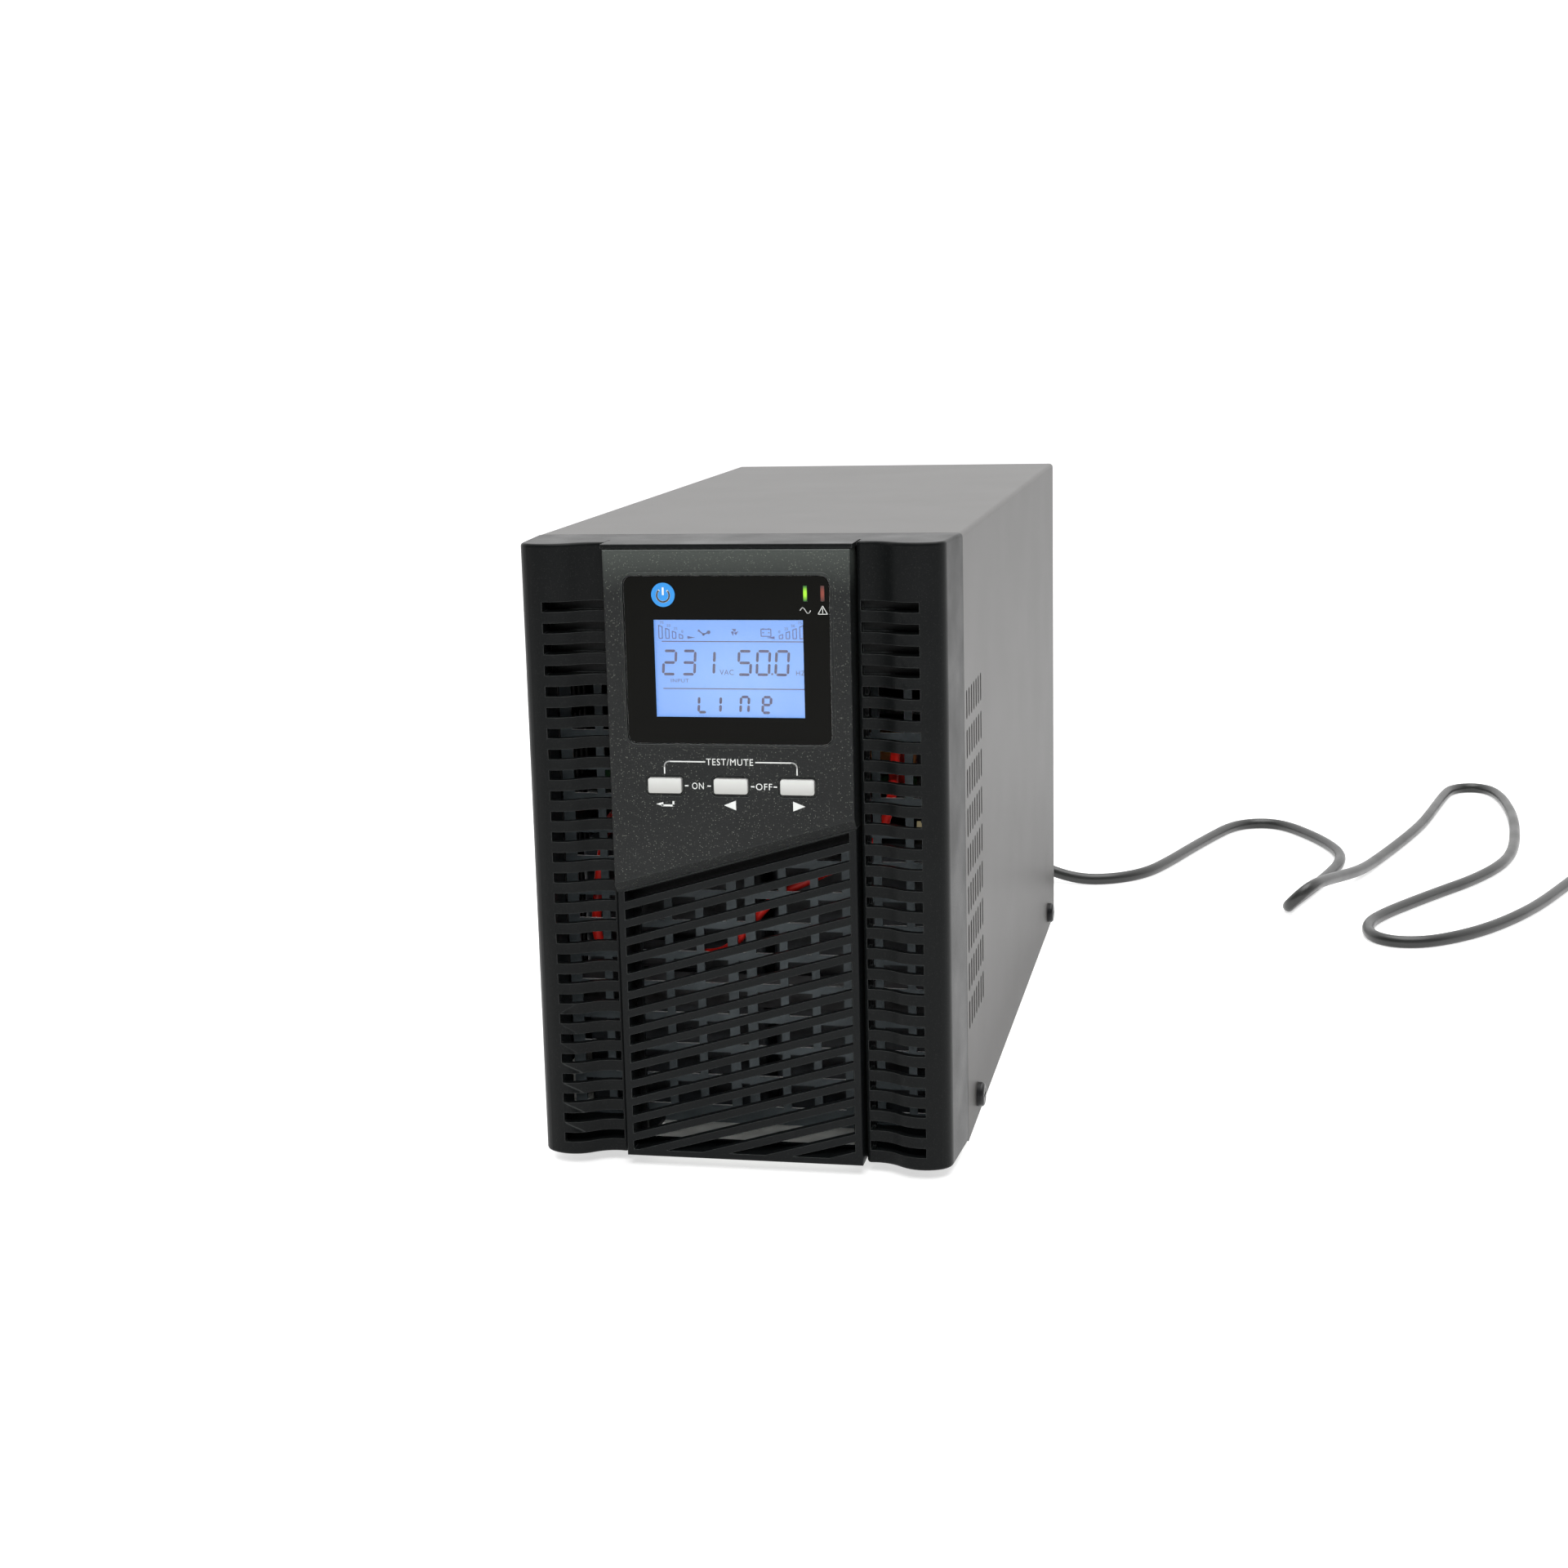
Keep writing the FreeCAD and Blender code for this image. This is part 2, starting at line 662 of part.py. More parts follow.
def push_button(place):
    """A button cap with a hidden flange that keeps it in, and a stem that reaches its switch."""
    x, z = place
    front = -FRONT_PROUD
    flange_y = PANEL_T + GAP
    cap = plate_y(place, (BUTTON_W, BUTTON_H), BUTTON_ROUND, front, flange_y)
    cap = cap.makeFillet(RIM_ROUND, [e for e in cap.Edges if e.BoundBox.YMax < front + GAP])
    flange_size = (BUTTON_W + 2 * BUTTON_FLANGE, BUTTON_H + 2 * BUTTON_FLANGE)
    flange = plate_y(place, flange_size, BUTTON_ROUND, flange_y, flange_y + BUTTON_FLANGE_T)
    stem_y = flange_y + BUTTON_FLANGE_T
    stem = rod((x, stem_y, z), AXIS_Y, STEM_R, PLUNGER_Y[0] - stem_y)
    return fuse([cap, flange, stem])


def switch_plunger(place):
    """The moving peg of a push switch."""
    x, z = place
    return rod((x, PLUNGER_Y[0], z), AXIS_Y, PLUNGER_R, PLUNGER_Y[1] - PLUNGER_Y[0])


def tact_switches():
    """The three switch bodies on the board, each bored for its plunger."""
    bodies = []
    for x, z in button_places():
        body = plate_y((x, z), (SWITCH_SIZE, SWITCH_SIZE), 0.4, SWITCH_Y, BOARD_Y)
        bore = rod((x, SWITCH_Y - 1, z), AXIS_Y, PLUNGER_R + PLUNGER_FIT, SWITCH_BORE_Y - SWITCH_Y + 1)
        bodies.append(body.cut(bore))
    return bodies


def display_board():
    """The printed circuit board behind the control panel, with four mounting holes."""
    low = (-BOARD_HALF, BOARD_Y, BOARD_Z[0])
    high = (BOARD_HALF, BOARD_Y + PCB_T, BOARD_Z[1])
    board = soft_block(low, high, 1.5, AXIS_Y)
    hole_x = BOARD_HALF - BOARD_HOLE_INSET[0]
    holes = []
    for x in (-hole_x, hole_x):
        for z in (BOARD_Z[0] + BOARD_HOLE_INSET[1], BOARD_Z[1] - BOARD_HOLE_INSET[1]):
            holes.append(rod((x, BOARD_Y - 1, z), AXIS_Y, BOARD_HOLE_R, PCB_T + 2))
    return board.cut(holes)


def lower_grille():
    """The lower insert: a shell with slanted bars that run parallel to the slanted joint."""
    half = INSERT_W / 2
    top_gap = 0.15
    outline = [
        (-half, GRILLE_BASE_Z),
        (half, GRILLE_BASE_Z),
        (half, diagonal(half, -top_gap)),
        (-half, diagonal(-half, -top_gap)),
    ]
    outer = prism_y(outline, GRILLE_Y, INSERT_BACK)
    rounds = [e for e in outer.Edges if e.BoundBox.YMax < GRILLE_Y + GAP and e.BoundBox.XLength < GAP]
    rounds += [e for e in outer.Edges if e.BoundBox.YMax < GRILLE_Y + GAP and e.BoundBox.ZMax < 1.0]
    shell = outer.makeFillet(PANEL_ROUND, rounds)
    inner = half - GRILLE_SIDE
    inner_low = GRILLE_BASE_Z + GRILLE_FOOT
    cavity = prism_y(
        [
            (-inner, inner_low),
            (inner, inner_low),
            (inner, diagonal(inner, -GRILLE_TOP_RIM - 1)),
            (-inner, diagonal(-inner, -GRILLE_TOP_RIM - 1)),
        ],
        GRILLE_Y + BAR_DEPTH,
        INSERT_BACK + 1,
    )
    shell = shell.cut(cavity)
    opening = prism_y(
        [
            (-inner, inner_low),
            (inner, inner_low),
            (inner, diagonal(inner, -GRILLE_TOP_RIM)),
            (-inner, diagonal(-inner, -GRILLE_TOP_RIM)),
        ],
        GRILLE_Y - 1,
        INSERT_BACK,
    )
    cutters = []
    count = int((diagonal(inner) - inner_low) / BAR_PITCH) + 1
    for number in range(count):
        top = -GRILLE_TOP_RIM - number * BAR_PITCH
        slot = prism_y(
            [
                (-half, diagonal(-half, top - BAR_SLOT)),
                (half, diagonal(half, top - BAR_SLOT)),
                (half, diagonal(half, top)),
                (-half, diagonal(-half, top)),
            ],
            GRILLE_Y - 1,
            GRILLE_Y + BAR_DEPTH + 1,
        )
        cutters.extend(slot.common(opening).Solids)
    return shell.cut(cutters)


# ================================================================ sheet metal


def plate_columns():
    """Middle and width of each column of holes in the front plate, one of them narrow."""
    columns = [(PLATE_MIDDLE_X, PLATE_MIDDLE_W)]
    for number in range(PLATE_LEFT_COLUMNS):
        columns.append((PLATE_LEFT_X - number * PLATE_PITCH, PLATE_HOLE))
    for number in range(PLATE_RIGHT_COLUMNS):
        columns.append((PLATE_RIGHT_X + number * PLATE_PITCH, PLATE_HOLE))
    return columns


def front_plate():
    """The punched steel front of the chassis: rows of square holes, side flanges folded back."""
    half = HALF_W - STEEL - 2 * GAP - LIP_T - GAP
    plate = block((-half, PLATE_Y, STEEL), (half, PLATE_Y + STEEL, PLATE_TOP))
    flanges = both_sides(block((half - STEEL, PLATE_Y, STEEL), (half, PLATE_Y + PLATE_FLANGE, PLATE_TOP)))
    foot = block((-half, PLATE_Y, STEEL), (half, PLATE_Y + PLATE_FLANGE, 2 * STEEL))
    plate = fuse([plate, foot] + flanges)
    cutters = []
    for row in range(PLATE_ROWS):
        z = PLATE_FIRST_Z + row * PLATE_PITCH
        for x, width in plate_columns():
            low = (x - width / 2, PLATE_Y - 1, z)
            high = (x + width / 2, PLATE_Y + STEEL + GAP, z + PLATE_HOLE)
            cutters.append(block(low, high))
    return plate.cut(cutters)


def chassis_base():
    """The floor pan, with a tongue under the grille, low side flanges and holes for feet and screws."""
    half = HALF_W - STEEL - 0.1
    y1 = BODY_D - 2 * STEEL
    front = COVER_Y + 2.0
    floor = block((-half, front, 0), (half, y1, STEEL))
    tongue = block((-TONGUE_HALF, WELL_Y + WALL + GAP, 0), (TONGUE_HALF, front, STEEL))
    flanges = both_sides(block((half - STEEL, COVER_Y + 2 * BEZEL_BACK_LIP, 0), (half, y1, BASE_FLANGE_H)))
    pan = fuse([floor, tongue] + flanges)
    cutters = []
    for y in SCREW_Y:
        cutters.append(rod((-HALF_W, y, SCREW_Z), AXIS_X, SCREW_R + 0.1, BODY_W))
    for y in FOOT_Y:
        for x in (-FOOT_X, FOOT_X):
            cutters.append(rod((x, y, -1), AXIS_Z, SCREW_R + 0.1, STEEL + 2))
    for row in range(PAN_SLOTS):
        y = PAN_SLOT_Y + row * PAN_SLOT_PITCH
        low, high = (-PAN_SLOT_HALF, y, -1), (PAN_SLOT_HALF, y + PAN_SLOT_W, STEEL + 1)
        cutters.append(soft_block(low, high, PAN_SLOT_W / 2 - 0.1, AXIS_Z))
    return pan.cut(cutters)


def top_cover():
    """The wrap-round cover: top and both sides from one sheet, with a block of slots near the front of each side."""
    outer = block((-HALF_W, COVER_Y, 0), (HALF_W, BODY_D, BODY_H))
    inner = block((-HALF_W + STEEL, COVER_Y - 1, -1), (HALF_W - STEEL, BODY_D + 1, BODY_H - STEEL))
    bends = [e for e in outer.Edges if e.BoundBox.YLength > BODY_D / 2 and e.BoundBox.ZMin > BODY_H / 2]
    shell = outer.makeFillet(COVER_ROUND, bends).cut(inner)
    cutters = []
    for row in range(VENT_ROWS):
        z = VENT_TOP_Z - row * VENT_PITCH_Z
        for column in range(VENT_COLUMNS):
            y = VENT_FIRST_Y + column * VENT_PITCH_Y
            low = (-HALF_W - 1, y - VENT_W / 2, z - VENT_H / 2)
            high = (HALF_W + 1, y + VENT_W / 2, z + VENT_H / 2)
            cutters.append(soft_block(low, high, VENT_W / 2 - 0.05, AXIS_X))
    for y in SCREW_Y:
        cutters.append(rod((-HALF_W - 1, y, SCREW_Z), AXIS_X, SCREW_R + 0.2, BODY_W + 2))
    return shell.cut(cutters)


def pan_screw(x, y, z, side):
    """A cross-head screw that comes through one side of the cover, its head on the outside."""
    out = AXIS_X * side
    head = rod((x, y, z), out, SCREW_HEAD_R, SCREW_HEAD_H)
    head = head.makeFillet(1.2, [e for e in head.Edges if abs(e.CenterOfMass.x - x) > SCREW_HEAD_H - GAP])
    shank = rod((x - side * SCREW_LENGTH, y, z), out, SCREW_R, SCREW_LENGTH)
    tip = x + side * SCREW_HEAD_H
    deep = x + side * (SCREW_HEAD_H - CROSS_DEPTH)
    low, high = min(tip, deep) - 0.01, max(tip, deep) + 0.01
    cross = [
        block((low, y - CROSS_SPAN / 2, z - CROSS_W / 2), (high, y + CROSS_SPAN / 2, z + CROSS_W / 2)),
        block((low, y - CROSS_W / 2, z - CROSS_SPAN / 2), (high, y + CROSS_W / 2, z + CROSS_SPAN / 2)),
    ]
    return fuse([head, shank]).cut(cross)


def cover_screws():
    """The four black screws low on the sides of the cover."""
    return [pan_screw(side * HALF_W, y, SCREW_Z, side) for side in SIDES for y in SCREW_Y]


def rubber_feet():
    """Four round tapered feet, pressed into the floor pan."""
    feet = []
    for y in FOOT_Y:
        for x in (-FOOT_X, FOOT_X):
            pad = Part.makeCone(FOOT_TIP_R, FOOT_R, FOOT_H, Vector(x, y, FLOOR_Z), AXIS_Z)
            feet.append(fuse([pad, rod((x, y, 0), AXIS_Z, SCREW_R, STEEL)]))
    return feet


def rear_ports():
    """The cutters for the outlets, ports, breaker, slot and mains lead in the rear panel."""
    y0, y1 = BODY_D - 2 * STEEL, BODY_D + 1
    fitted = [((x, OUTLET_Z), OUTLET_BODY, GAP, 1.0) for x in OUTLET_X]
    fitted.append(((SERIAL_X, PORT_Z), SERIAL_BODY, 2 * PORT_FIT, 1.0))
    fitted.append(((USB_X, PORT_Z), USB_SHELL, 2 * PORT_FIT, 0.5))
    fitted.append(((JACK_X, PORT_Z), JACK_BLOCK, 2 * PORT_FIT, 0.5))
    slot = (SLOT_COVER[0] - SLOT_COVER_LAP[0], SLOT_COVER[1] - SLOT_COVER_LAP[1])
    fitted.append(((SLOT_COVER_X, SLOT_COVER_Z), slot, 0.0, 1.0))
    cutters = [plate_y(at, (w + fit, h + fit), corner, y0, y1) for at, (w, h), fit, corner in fitted]
    cutters.append(rod((BREAKER_X, y0, BREAKER_Z), AXIS_Y, BREAKER_NECK_R + 0.1, y1 - y0))
    cutters.append(rod((CORD_X, y0, CORD_Z), AXIS_Y, RELIEF_R[0] - 1.0, y1 - y0))
    return cutters


def fan_corners():
    """Middle of each of the four fan screws."""
    reach = FAN_HOLES / 2
    return [(FAN_CENTRE[0] + i * reach, FAN_CENTRE[1] + j * reach) for i in SIDES for j in SIDES]


def slot_screw_places():
    """Middle of the two thumb screws of the expansion slot cover."""
    reach = SLOT_COVER[1] / 2 - SLOT_SCREW_INSET
    return [(SLOT_COVER_X, SLOT_COVER_Z - reach), (SLOT_COVER_X, SLOT_COVER_Z + reach)]


def rear_panel():
    """The rear sheet, with a flange folded forward along each side and the top, and all its openings."""
    half = HALF_W - STEEL - REAR_FIT
    low_z = STEEL + REAR_FIT / 2
    high_z = BODY_H - STEEL - REAR_FIT
    y1 = BODY_D
    y0 = BODY_D - STEEL
    plate = block((-half, y0, low_z), (half, y1, high_z))
    flange_y = y0 - REAR_FLANGE
    sides = both_sides(block((half - STEEL, flange_y, BASE_FLANGE_H + 1), (half, y1, high_z)))
    top = block((-half, flange_y, high_z - STEEL), (half, y1, high_z))
    panel = fuse([plate, top] + sides)
    cutters = rear_ports()
    cutters.append(rod((FAN_CENTRE[0], y0 - 1, FAN_CENTRE[1]), AXIS_Y, FAN_BORE_R - 0.5, STEEL + 2))
    for x, z in fan_corners() + slot_screw_places():
        cutters.append(rod((x, y0 - 1, z), AXIS_Y, SCREW_R + 0.1, STEEL + 2))
    return panel.cut(cutters)


# ================================================================ fan


def fan_frame():
    """The square fan housing: a round duct, corner ears, and four struts that hold the motor seat and bearing."""
    x, z = FAN_CENTRE
    y1 = BODY_D - STEEL
    y0 = y1 - FAN_DEPTH
    body = plate_y(FAN_CENTRE, (FAN_SIZE, FAN_SIZE), FAN_CORNER, y0, y1)
    duct = rod((x, y0 - 1, z), AXIS_Y, FAN_BORE_R, FAN_DEPTH + 2)
    waist = rod((x, y0 + FAN_EAR, z), AXIS_Y, FAN_SIZE, FAN_DEPTH - 2 * FAN_EAR)
    waist = waist.cut(rod((x, y0 + FAN_EAR, z), AXIS_Y, FAN_BORE_R + FAN_DUCT_T, FAN_DEPTH - 2 * FAN_EAR))
    body = body.cut([duct, waist])
    struts = []
    for turn in STRUT_TURNS:
        low = (x - FAN_BORE_R - 1, y0, z - STRUT_W / 2)
        bar = block(low, (x + FAN_BORE_R + 1, y0 + STRUT_W, z + STRUT_W / 2))
        bar.rotate(Vector(x, 0, z), AXIS_Y, turn)
        struts.append(bar)
    seat = rod((x, y0, z), AXIS_Y, FAN_HUB_R - 1, STRUT_W)
    boss = rod((x, y0, z), AXIS_Y, FAN_BOSS_R, FAN_BOSS_L)
    bore = rod((x, y0 + 1, z), AXIS_Y, FAN_SHAFT_R + FAN_SHAFT_FIT, FAN_BORE_L)
    frame = fuse([body, seat, boss] + struts).cut(bore)
    holes = [rod((cx, y0 - 1, cz), AXIS_Y, SCREW_R + 0.15, FAN_DEPTH + 2) for cx, cz in fan_corners()]
    return frame.cut(holes)


def fan_blade(x, z, y0, y1):
    """One pitched blade between the hub and the duct."""
    length = FAN_BLADE_R - FAN_HUB_R + BLADE_ROOT
    chord = (y1 - y0) / math.cos(math.radians(FAN_BLADE_PITCH))
    blade = block((-BLADE_T / 2, -chord / 2, 0), (BLADE_T / 2, chord / 2, length))
    blade.rotate(Vector(0, 0, 0), AXIS_Z, FAN_BLADE_PITCH)
    blade.translate(Vector(x, (y0 + y1) / 2, z + FAN_HUB_R - BLADE_ROOT))
    band = rod((x, y0, z), AXIS_Y, FAN_BLADE_R, y1 - y0)
    return blade.common(band)


def fan_rotor():
    """The rotor: a cup hub on a steel shaft, with pitched blades."""
    x, z = FAN_CENTRE
    frame_y0 = BODY_D - STEEL - FAN_DEPTH
    y0 = frame_y0 + ROTOR_START
    y1 = BODY_D - STEEL - ROTOR_END
    hub = rod((x, y0, z), AXIS_Y, FAN_HUB_R, y1 - y0)
    hollow = rod((x, y0 - 1, z), AXIS_Y, FAN_HUB_R - HUB_WALL, y1 - y0 + 1 - 1.5 * HUB_WALL)
    hub = hub.makeFillet(1.5, [e for e in hub.Edges if e.BoundBox.YMin > y1 - GAP]).cut(hollow)
    shaft = rod((x, frame_y0 + SHAFT_START, z), AXIS_Y, FAN_SHAFT_R, y1 - frame_y0 - SHAFT_SETBACK)
    blades = []
    for number in range(FAN_BLADES):
        blade = fan_blade(x, z, y0, y1 - 1)
        blade.rotate(Vector(x, 0, z), AXIS_Y, number * 360.0 / FAN_BLADES)
        blades.append(blade.cut(rod((x, y0 - 1, z), AXIS_Y, FAN_HUB_R - 1, y1 - y0 + 2)))
    return fuse([hub, shaft] + blades)


def fan_guard():
    """The guard outside the fan opening: concentric rings on four spokes that end in eyes under the fan screws."""
    x, z = FAN_CENTRE
    reach = FAN_HOLES / 2 * math.sqrt(2)
    inner = GUARD_RINGS[0] - GUARD_WIRE / 2
    low, high = BODY_D, BODY_D + GUARD_WIRE
    pieces = []
    for turn in STRUT_TURNS + tuple(turn + 180.0 for turn in STRUT_TURNS):
        spoke = block((x + inner, low, z - GUARD_WIRE / 2), (x + reach, high, z + GUARD_WIRE / 2))
        spoke.rotate(Vector(x, low, z), AXIS_Y, turn)
        pieces.append(spoke)
    for radius in GUARD_RINGS:
        ring = rod((x, high - GUARD_RELIEF, z), AXIS_Y, radius + GUARD_WIRE / 2, GUARD_WIRE)
        pieces.append(ring.cut(rod((x, low, z), AXIS_Y, radius - GUARD_WIRE / 2, 3 * GUARD_WIRE)))
    for cx, cz in fan_corners():
        pieces.append(rod((cx, low, cz), AXIS_Y, GUARD_EYE_R, GUARD_WIRE))
    guard = fuse(pieces)
    holes = [rod((cx, low - 1, cz), AXIS_Y, SCREW_R + 0.1, 4 * GUARD_WIRE) for cx, cz in fan_corners()]
    return guard.cut(holes)


def fan_screws():
    """Four long screws through the guard, the rear panel and the corner ears of the fan."""
    screws = []
    head_y = BODY_D + GUARD_WIRE
    length = FAN_DEPTH + FAN_SCREW_PAST
    for x, z in fan_corners():
        head = rod((x, head_y, z), AXIS_Y, FAN_HEAD_R, FAN_HEAD_H)
        head = head.makeFillet(0.9, [e for e in head.Edges if e.BoundBox.YMin > head_y + 1])
        cross = []
        for w, h in ((FAN_HEAD_R - 0.4, FAN_SLOT_W / 2), (FAN_SLOT_W / 2, FAN_HEAD_R - 0.4)):
            cross.append(block((x - w, head_y + FAN_SLOT_Y, z - h), (x + w, head_y + FAN_HEAD_H + 1, z + h)))
        shank = rod((x, head_y - length, z), AXIS_Y, SCREW_R, length)
        screws.append(fuse([head, shank]).cut(cross))
    return screws


# ================================================================ rear panel fittings


def outlet_profile(centre, size, y0, y1):
    """The outlet's shape seen from behind: a rectangle whose two upper corners are cut off."""
    x, z = centre
    w, h = size
    c = OUTLET_CORNER * h / OUTLET_WELL[1]
    points = [
        (x - w / 2, z - h / 2),
        (x + w / 2, z - h / 2),
        (x + w / 2, z + h / 2 - c),
        (x + w / 2 - c, z + h / 2),
        (x - w / 2 + c, z + h / 2),
        (x - w / 2, z + h / 2 - c),
    ]
    return prism_y(points, y0, y1)


def outlet(x):
    """A panel outlet: flange, body, a well round a raised core, and three contact slots in the core."""
    place = (x, OUTLET_Z)
    front = BODY_D + OUTLET_PROUD
    flange = plate_y(place, OUTLET_FLANGE, 2.0, BODY_D, front)
    flange = flange.makeFillet(0.6, [e for e in flange.Edges if e.BoundBox.YMin > front - GAP])
    body = plate_y(place, OUTLET_BODY, 1.0, BODY_D - OUTLET_DEPTH, BODY_D)
    well = outlet_profile(place, OUTLET_WELL, front - OUTLET_WELL_DEPTH, front + 1)
    core = outlet_profile(place, OUTLET_CORE, front - OUTLET_WELL_DEPTH, front - OUTLET_CORE_SINK)
    shape = fuse([fuse([flange, body]).cut(well), core])
    w, h = OUTLET_SLOT
    slots = []
    for dx, dz in OUTLET_SLOT_AT:
        centre = (x + dx, OUTLET_Z + dz)
        slots.append(plate_y(centre, (w, h), 0.2, front - OUTLET_WELL_DEPTH + 2, front))
    return shape.cut(slots)


def breaker_body():
    """The push-to-reset breaker: case inside, threaded neck through the panel and a hexagonal nut outside."""
    x, z = BREAKER_X, BREAKER_Z
    case = plate_y((x, z), BREAKER_CASE, 1.5, BODY_D - BREAKER_DEPTH, BODY_D - STEEL)
    neck = rod((x, BODY_D - STEEL, z), AXIS_Y, BREAKER_NECK_R, BREAKER_NECK_L)
    nut_points = []
    for corner in range(6):
        angle = math.radians(60 * corner)
        nut_points.append((x + BREAKER_NUT_R * math.cos(angle), z + BREAKER_NUT_R * math.sin(angle)))
    nut = prism_y(nut_points, BODY_D, BODY_D + BREAKER_NUT_T)
    bore = rod((x, BODY_D - BREAKER_BORE_DEPTH, z), AXIS_Y, BREAKER_BORE_R, 2 * BREAKER_BORE_DEPTH)
    return fuse([case, neck, nut]).cut(bore)


def breaker_button():
    """The reset button of the breaker, which pops out when the breaker trips."""
    end = BODY_D + REAR_PROUD
    stem = rod((BREAKER_X, BODY_D - RESET_DEPTH, BREAKER_Z), AXIS_Y, RESET_R, REAR_PROUD + RESET_DEPTH)
    return stem.makeFillet(0.8, [e for e in stem.Edges if e.BoundBox.YMin > end - GAP])


def serial_port():
    """A nine-way serial socket: D-shaped shell, flange and two hexagonal posts."""
    x, z = SERIAL_X, PORT_Z
    y = BODY_D
    flange = plate_y((x, z), SERIAL_FLANGE, 1.5, y, y + 1.0)
    top, bottom, rise = SERIAL_SHELL
    shell_points = [(x - top, z + rise), (x + top, z + rise), (x + bottom, z - rise), (x - bottom, z - rise)]
    shell = prism_y(shell_points, y, y + SERIAL_SHELL_L)
    inner = plate_y((x, z), SERIAL_BODY, 1.0, y - SERIAL_DEPTH, y)
    holes = []
    for row_z, count in SERIAL_ROWS:
        for number in range(count):
            px = x + (number - (count - 1) / 2) * SERIAL_PITCH
            holes.append(rod((px, y + 2, z + row_z), AXIS_Y, SERIAL_HOLE_R, SERIAL_SHELL_L - 1))
    posts = [rod((x + side * SERIAL_POST_X, y + 1, z), AXIS_Y, SERIAL_POST_R, SERIAL_POST_L) for side in SIDES]
    return fuse([flange, shell, inner] + posts).cut(holes)


def usb_port():
    """A square USB socket: shell with chamfered upper corners round a central tongue."""
    x, z = USB_X, PORT_Z
    y = BODY_D
    shell = plate_y((x, z), USB_SHELL, 0.4, y - USB_DEPTH, y + USB_PROUD)
    w, h = USB_HALF
    c = USB_CHAMFER
    opening = [
        (x - w, z - h),
        (x + w, z - h),
        (x + w, z + h - c),
        (x + w - c, z + h),
        (x - w + c, z + h),
        (x - w, z + h - c),
    ]
    tongue_x, tongue_z = USB_TONGUE
    tongue = block((x - tongue_x, y - USB_WELL, z - tongue_z), (x + tongue_x, y, z + tongue_z))
    return fuse([shell.cut(prism_y(opening, y - USB_WELL, y + 1)), tongue])


def surge_jacks():
    """Two telephone-line jacks side by side in one block, each with a step for its latch."""
    z = PORT_Z
    y0, y1 = BODY_D - JACK_WELL, BODY_D + 2
    body = plate_y((JACK_X, z), JACK_BLOCK, 0.4, BODY_D - JACK_DEPTH, BODY_D + 1.0)
    cutters = []
    for side in SIDES:
        x = JACK_X + side * JACK_OFFSET
        for half, (low, high) in ((JACK_HALF, JACK_Z), (JACK_KEY_HALF, JACK_KEY_Z)):
            cutters.append(block((x - half, y0, z + low), (x + half, y1, z + high)))
    return body.cut(cutters)


def slot_cover():
    """The plate over the expansion slot, with two holes for thumb screws."""
    plate = plate_y((SLOT_COVER_X, SLOT_COVER_Z), SLOT_COVER, 1.5, BODY_D, BODY_D + SLOT_COVER_T)
    return plate.cut([rod((x, BODY_D - 1, z), AXIS_Y, SCREW_R + 0.1, 4) for x, z in slot_screw_places()])


def slot_cover_screws():
    """The two thumb screws of the slot cover, with fluted heads."""
    screws = []
    y = BODY_D + SLOT_COVER_T
    for x, z in slot_screw_places():
        head = rod((x, y, z), AXIS_Y, THUMB_R, THUMB_H)
        head = head.makeFillet(0.7, [e for e in head.Edges if e.BoundBox.YMin > y + THUMB_H - 0.5])
        flutes = []
        for number in range(THUMB_FLUTES):
            angle = 2 * math.pi * number / THUMB_FLUTES
            place = (x + THUMB_FLUTE_AT * math.cos(angle), y - 1, z + THUMB_FLUTE_AT * math.sin(angle))
            flutes.append(rod(place, AXIS_Y, THUMB_FLUTE_R, THUMB_H + 3))
        slot = block((x - THUMB_R + 1, y + THUMB_SLOT_Z, z - 0.5), (x + THUMB_R - 1, y + THUMB_H + 1, z + 0.5))
        shank = rod((x, y - THUMB_SHANK, z), AXIS_Y, SCREW_R, THUMB_SHANK)
        screws.append(fuse([head.cut(flutes + [slot]), shank]))
    return screws


# ================================================================ batteries and electronics


def battery(side):
    """A sealed battery: case with rounded edges and a slightly smaller lid."""
    x0, x1 = side * BATTERY_X - BATTERY_W / 2, side * BATTERY_X + BATTERY_W / 2
    y0, y1 = BATTERY_Y, BATTERY_Y + BATTERY_L
    lid_z = BATTERY_Z + BATTERY_H
    case = soft_block((x0, y0, BATTERY_Z), (x1, y1, lid_z), BATTERY_ROUND, AXIS_Z)
    low = (x0 + LID_INSET, y0 + LID_INSET, lid_z)
    high = (x1 - LID_INSET, y1 - LID_INSET, lid_z + BATTERY_LID_H)
    return fuse([case, soft_block(low, high, BATTERY_ROUND, AXIS_Z)])


def tab_places():
    """Middle of each of the four terminal tabs, left battery first."""
    places = []
    for side in SIDES:
        x0 = side * BATTERY_X - BATTERY_W / 2
        places += [(x0 + dx, BATTERY_Y + TAB_Y) for dx in TAB_X]
    return places


def battery_terminals():
    """The four spade tabs on top of the batteries."""
    z = BATTERY_Z + BATTERY_H + BATTERY_LID_H
    tabs = []
    for x, y in tab_places():
        tabs.append(block((x - TAB_W / 2, y - TAB_T / 2, z), (x + TAB_W / 2, y + TAB_T / 2, z + TAB_H)))
    return tabs


